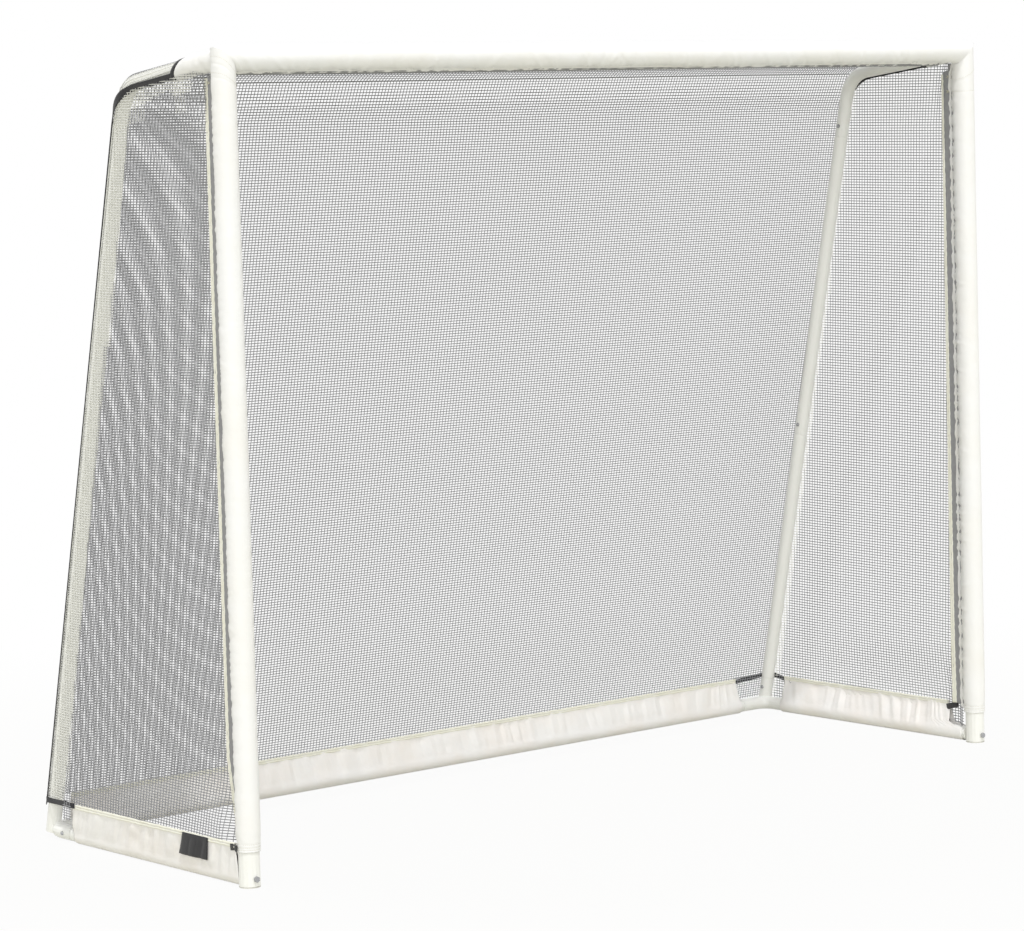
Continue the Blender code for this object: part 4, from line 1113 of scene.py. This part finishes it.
def sheet_across(start, stop, steps):
    """Threads that run across the sheet between two distances along the rails."""
    s = np.arange(start, stop, BACK_ROW)[:, None]
    s = s + STRAY * uneven(s / 0.012, 0.5, 9)
    left, right = half_cloth(-1, s), half_cloth(1, s)
    c = (right - left) / 2 + (right + left) / 2 * np.sin(np.linspace(-np.pi / 2, np.pi / 2, steps))
    return sheet_place(s + WANDER * uneven(c / 0.25, s / 0.08, 13), c)


def window_threads(steps):
    """The few threads across, below the skirt's top line, beside the right corner fitting."""
    s = np.arange(skirt_line, RIGHT.at_height(WINDOW_LOW), BACK_ROW)[:, None]
    return sheet_place(s, between(WINDOW_SIDE - 0.004, half_cloth(1, s), np.linspace(0, 1, steps)))


net_piece("net_roof", "roof_net", sheet_down(0.0, bend_middle, 18),
          sheet_across(NET_FRONT, bend_middle, 26))
net_piece("net_back", "back_net", sheet_down(bend_middle, RIGHT.end, 20),
          sheet_across(bend_middle, skirt_line, 26), window_threads(8))

# %% [markdown]
# A side net hangs from the seam on the arm, is sewn to the post's binding in front and to the skirt
# below, and passes outside the stay to the seam behind it. Its threads run up and along, nearly
# square to the ground. Each is followed in small steps, and only the stretches that lie inside the
# panel's edges are kept.

# %% Side nets
SIDE_PITCH = {-1: 0.00890, 1: 0.00840}
SIDE_ROW = {-1: 0.00493, 1: 0.00600}
SIDE_TILT = {-1: -0.054, 1: -0.031}     # how far an upright thread leans forward with height
ROW_RISE = {-1: 0.018, 1: 0.0145}       # how far a level thread climbs towards the back
SIDE_TOP = STRIP_TOP
SEAM_START = 0.075                      # along the arm, where the side net's top edge meets the cuff
# Before the rear fitting the net reaches below the skirt's top line: from and to, before the back
# tube's axis, and how low.
REAR_WINDOW = {-1: (0.0975, 0.0670, 0.0485), 1: (0.075, -0.020, WINDOW_LOW)}
OVER_STRAP = {-1: 0.0066, 1: 0.0}       # on the left the net passes outside the corner strap
FOOT_NET_TOP, FOOT_NET_FRONT = 0.080, 0.0330


def stretches(inside):
    """First and last index of each unbroken stretch of True."""
    edges = np.flatnonzero(np.diff(np.concatenate([[0], inside.astype(int), [0]])))
    return zip(edges[::2], edges[1::2] - 1)


class SideNet:
    """A side net in y from the post's axis and z."""

    def __init__(self, side):
        rail = RAILS[side]
        s = np.linspace(SEAM_START, rail.end, 500)
        past_cuff = rise(s, CUFF_MIDDLE[side], CUFF_MIDDLE[side] + 0.02)
        radius = between(CUFF_SKIN, NET_RADIUS, past_cuff)[:, None]
        self.side = side
        self.seam = round_tube(rail, s, seam_angle(rail, s), radius)[0] - (0, POST_Y, 0)
        self.axis = rail.at(s)[0] - (0, POST_Y, 0)

    def front(self, z):
        """The net's front edge: at the grey strip of painted shade, and further forward at the post's foot.
        """
        return np.where(z < FOOT_NET_TOP, FOOT_NET_FRONT, strip_rear(self.side, z)) - 0.001

    def top(self, y):
        first = [[self.side * POST_X, self.front(SIDE_TOP), SIDE_TOP]]
        line = np.concatenate([first, self.seam])
        return np.interp(y, line[:, 1], line[:, 2])

    def rear(self, z):
        return np.interp(z, self.seam[::-1, 2], self.seam[::-1, 1])

    def low(self, y):
        """The skirt's top line, its slanted front end, and the window before the corner fitting."""
        heights, places = zip(*SIDE_FRONT_END[self.side])
        start, stop, window = REAR_WINDOW[self.side]
        edge = np.interp(y, places, heights)
        return np.where((y > DEPTH - start) & (y < DEPTH - stop), window, edge) - 0.001

    def inside(self, y, z):
        return (y > self.front(z)) & (y < self.rear(z)) & (z < self.top(y)) & (z > self.low(y))

    def place(self, y, z):
        """Points of the net: flat from the post to the stay, out over skirt and strap, round the stay."""
        axis_x, axis_y = [np.interp(z, self.axis[::-1, 2], self.axis[::-1, k]) for k in (0, 1)]
        axis_x = np.abs(axis_x)
        front, top = self.front(z), self.top(y)
        share = np.clip((y - front) / np.maximum(axis_y - front, 0.01), 0, 1)
        flat = between(POST_X - FLANGE_IN[self.side], axis_x + NET_RADIUS, share)
        behind = np.clip((y - axis_y) * 0.976 / NET_RADIUS, 0, 0.95)
        x = np.where(y > axis_y, axis_x + NET_RADIUS * np.sqrt(1 - behind ** 2), flat)
        seam_x = np.abs(np.interp(y, self.seam[:, 1], self.seam[:, 0]))
        from_post = rise(y, front, front + 0.03)
        x = between(x, seam_x, rise(z, top - 0.14, top) * from_post)
        low = rise(z, 0.20, 0.08) * rise(y, axis_y - 0.05, axis_y - 0.10)
        x = between(x, POST_X + SIDE_FLAP, low * from_post)
        start, stop = DEPTH - REAR_WINDOW[self.side][0], DEPTH - REAR_WINDOW[self.side][1]
        strap = rise(y, start - 0.004, start + 0.002) * rise(y, stop + 0.004, stop - 0.002)
        x = x + OVER_STRAP[self.side] * strap * rise(z, 0.14, 0.09)
        wave = 0.0010 * uneven(y / 0.22 + 2, z / 0.30, 21 + self.side)
        inner = rise(y, front, front + 0.08) * rise(y, axis_y, axis_y - 0.08) * rise(z, top, top - 0.1)
        return xyz(self.side * (x - np.abs(wave) * inner), POST_Y + y, z)

    def follow(self, path, along, shortest, steps):
        """The stretches of a thread inside the panel; path gives y and z for places along it."""
        for first, last in stretches(self.inside(*path(along))):
            if along[last] - along[first] > shortest:
                yield self.place(*path(np.linspace(along[first], along[last], steps)))

    def uprights(self):
        tilt = SIDE_TILT[self.side]
        start = np.arange(0.03, DEPTH + 0.14, SIDE_PITCH[self.side])
        start = start + STRAY * uneven(start / 0.02, 0.4, 22 + self.side)
        heights = np.linspace(WINDOW_LOW - 0.01, SIDE_TOP + 0.03, 1500)
        paths = [lambda z, y=y: (y + tilt * z, z) for y in start]
        return np.array([line for path in paths for line in self.follow(path, heights, 0.006, 22)])

    def rows(self):
        climb = ROW_RISE[self.side]
        start = np.arange(WINDOW_LOW - 0.01, SIDE_TOP + 0.02, SIDE_ROW[self.side])
        start = start + STRAY * uneven(start / 0.012, 0.4, 23 + self.side)
        places = np.linspace(0.03, DEPTH + 0.03, 900)
        paths = [lambda y, z=z: (y, z + climb * y) for z in start]
        return np.array([line for path in paths for line in self.follow(path, places, 0.004, 18)])


for word, side in SIDES:
    net = SideNet(side)
    bundles = [(lines, (side, 0, 0)) for lines in (net.uprights(), net.rows())]
    net_piece("net_side_" + word, "side_net_" + word, *bundles)

# %% [markdown]
# ## Small sewn things
# A black patch is sewn to the left skirt near the post; it is left bare. It follows the skirt's outer
# face, with the folds pressed flatter under it. A black tab ties each skirt to the foot of its post.

# %% Patch and tabs
PATCH_FROM, PATCH_TO = (0.104, 0.100), (0.196, 0.181)       # behind the post's axis, at foot and top
PATCH_LOW, PATCH_HIGH = 0.0365, 0.0785
PATCH_OVER, PATCH_WALL = 0.0010, 0.0012
TAB_WIDTH = 0.0125


def patch(word, side):
    grid = SKIRT_GRIDS[word]
    climb, across = np.meshgrid(np.linspace(0, 1, 9), np.linspace(0, 1, 25), indexing="ij")
    y = POST_Y + between(between(*PATCH_FROM, climb), between(*PATCH_TO, climb), across)
    z = between(PATCH_LOW, PATCH_HIGH, climb)
    rows = np.abs(grid[None, :, -1, 1] - y.reshape(-1, 1)).argmin(1)
    face = [np.interp(height, grid[row, -OUTER_POINTS:, 2], grid[row, -OUTER_POINTS:, 0])
            for row, height in zip(rows, z.ravel())]
    x = np.array(face).reshape(y.shape)
    flatter = 0.5 * x + 0.5 * side * np.abs(x).max() + side * PATCH_OVER
    obj = cloth("patch_side_" + word, xyz(flatter, y, z), WEB_LOOK, "webbing", PATCH_WALL)


def right_tab():
    """From the foot of the flange back to the slanted end of the skirt."""
    flange_foot = np.array([POST_X + 0.0020, POST_Y + FOOT_END[1] - 0.0085, 0.0765])
    skirt_end = np.array([POST_X + SIDE_FLAP - 0.0045, POST_Y + SIDE_FRONT_END[1][TOP][1] + 0.003, 0.0655])
    return between(flange_foot, skirt_end, np.linspace(0, 1, 9)[:, None])


def left_tab():
    """Part of the way round the post's sleeve and on to the skirt beside it."""
    turn = np.radians(np.linspace(7, 47, 6))
    reach = SLEEVE_RADIUS + 0.0022
    round_post = xyz(-POST_X - reach * np.cos(turn), POST_Y + reach * np.sin(turn), 0.0730)
    return np.vstack([round_post, [-POST_X - SIDE_FLAP - 0.0046, POST_Y + 0.028, 0.0720]])


patch("left", -1)
for word, line, side in (("right", right_tab(), 1), ("left", left_tab(), -1)):
    band("tab_front_" + word, line, (side, -0.2, 0.0), TAB_WIDTH, WEBBING_THICK, WEB_LOOK, "webbing")

# %% [markdown]
# The hood and the foot of a post's sleeve are sewn with rows of stitches. Each stitch is a short cord
# laid on the sleeve's own points. Where the sleeve's lacing was tied off below the hood, tufts of
# thread stand out from the flange.

# %% Stitches and tufts
STITCH, STITCH_GAP = 0.0022, 0.0036
STITCH_THREAD, TUFT_THREAD = 0.00055, 0.00080
TUFT_ENDS = 14
FRONT_COLUMN = 8           # a column of the sleeve's grid that no mitre lifts, to find a height in
TUFT_HEIGHTS = {"left": (1.457,), "right": (1.447, 1.415)}


def stitches(word, side):
    grid = SLEEVE_GRIDS[word]
    middle = np.array([side * POST_X, POST_Y, 0])
    lines = []
    for seam in HOOD_SEAMS[side] + CUFF_SEAMS:
        row = grid[np.abs(grid[:, FRONT_COLUMN, 2] - seam).argmin(), FLANGE_POINTS + 3:-FLANGE_POINTS - 3]
        along = np.concatenate([[0], np.cumsum(np.linalg.norm(np.diff(row, axis=0), axis=1))])
        for start in np.arange(0, along[-1] - STITCH, STITCH_GAP):
            at = start + STITCH * np.linspace(0, 1, 3)
            line = np.stack([np.interp(at, along, row[:, k]) for k in range(3)], -1)
            lines.append(line + unit((line - middle) * (1, 1, 0)) * 0.0002)
    lines = np.array(lines)
    return lines, (lines - middle) * (1, 1, 0)


def tufts(word, side):
    rng = np.random.default_rng(81 + side)
    lines = []
    for height in TUFT_HEIGHTS[word]:
        root = np.array([side * POST_X - 0.0020, POST_Y + 0.041, height])
        for _ in range(TUFT_ENDS):
            way = np.array([-1.0, rng.uniform(-0.7, 0.7), rng.uniform(-0.8, 0.8)])
            out = np.linspace(0, rng.uniform(0.0035, 0.0060), 4)[:, None]
            lines.append(root + way * out + (0, 0, -25.0) * out ** 2 + rng.uniform(-0.001, 0.001, 3))
    return np.array(lines), (0, 0, 1)


for word, side in SIDES:
    for name, bundle, width in (("stitches_" + word, stitches(word, side), STITCH_THREAD),
                                ("tufts_" + word, tufts(word, side), TUFT_THREAD)):
        piece(name, *cord_mesh(name, [bundle], width), THREAD_LOOK, "cloth")

# %% [markdown]
# ## Floor and light
# The floor is plain and pale. To the camera it is almost white, like the backdrop, and keeps a soft
# shadow of the goal near its tubes. A high sun lights the tops and lets the flanges shade themselves,
# a very broad lamp low in front fills them, and the pale world does the rest, so that a colour renders
# about as it is written.

# %% Light the goal
SUN_FROM, SUN_STRENGTH, SUN_SIZE = (-0.191, -0.359, 0.9135), 1.2, radians(2)
FILL_FROM, FILL_STRENGTH, FILL_SIZE = (-0.53, -0.77, 0.34), 0.78, radians(58)
WORLD_STRENGTH = 0.70
FLOOR_SIZE = 60.0


def backdrop_ray(look):
    """1 for what the camera, a mirror or glass sees, and 0 for light that falls on the goal."""
    path = look.node("ShaderNodeLightPath", {}, {}, out="Is Camera Ray")
    seen = path.socket.node.outputs
    total = path + Wire(look, seen["Is Glossy Ray"]) + Wire(look, seen["Is Transmission Ray"])
    return look.node("ShaderNodeClamp", {}, {"Value": total})


def floor():
    look = Look("pale_floor")
    look.surface(Base_Color=rgb(200, 199, 184), Roughness=0.9)
    distance = look.node("ShaderNodeVectorMath", {"operation": "LENGTH"}, {0: look.place()}, out=1)
    far = look.node("ShaderNodeMapRange", {}, {"Value": distance, "From Min": 1.0, "From Max": 2.6,
                                               "To Min": 0.94, "To Max": 1.0})
    white = look.node("ShaderNodeEmission", {}, {"Color": (1, 1, 1, 1), "Strength": 1.0})
    pale = look.node("ShaderNodeMixShader", {}, {
        0: backdrop_ray(look) * far, 1: Wire(look, look.shader.outputs[0]), 2: white})
    look.fill(look.tree.nodes["Material Output"], {"Surface": pale})
    mesh = bpy.data.meshes.new("floor")
    half = FLOOR_SIZE / 2
    corners = [(-half, -half, 0), (half, -half, 0), (half, half, 0), (-half, half, 0)]
    mesh.from_pydata(corners, [], [(0, 1, 2, 3)])
    mesh.materials.append(look.material)
    obj = bpy.data.objects.new("floor", mesh)
    bpy.context.scene.collection.objects.link(obj)
    obj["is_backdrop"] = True


def world():
    look = Look("studio", bpy.data.worlds, "Background")
    strength = WORLD_STRENGTH + backdrop_ray(look) * (1 - WORLD_STRENGTH)
    look.fill(look.shader, {"Color": (1, 1, 1, 1), "Strength": strength})
    bpy.context.scene.world = look.material


def sun(name, towards, strength, size):
    lamp = bpy.data.lights.new(name, "SUN")
    lamp.energy = strength
    lamp.angle = size
    obj = bpy.data.objects.new(name, lamp)
    obj.matrix_world = Vector(towards).to_track_quat("Z", "Y").to_matrix().to_4x4()
    bpy.context.scene.collection.objects.link(obj)


floor()
world()
sun("high_sun", SUN_FROM, SUN_STRENGTH, SUN_SIZE)
sun("low_fill", FILL_FROM, FILL_STRENGTH, FILL_SIZE)

# %% Finish
low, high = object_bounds()
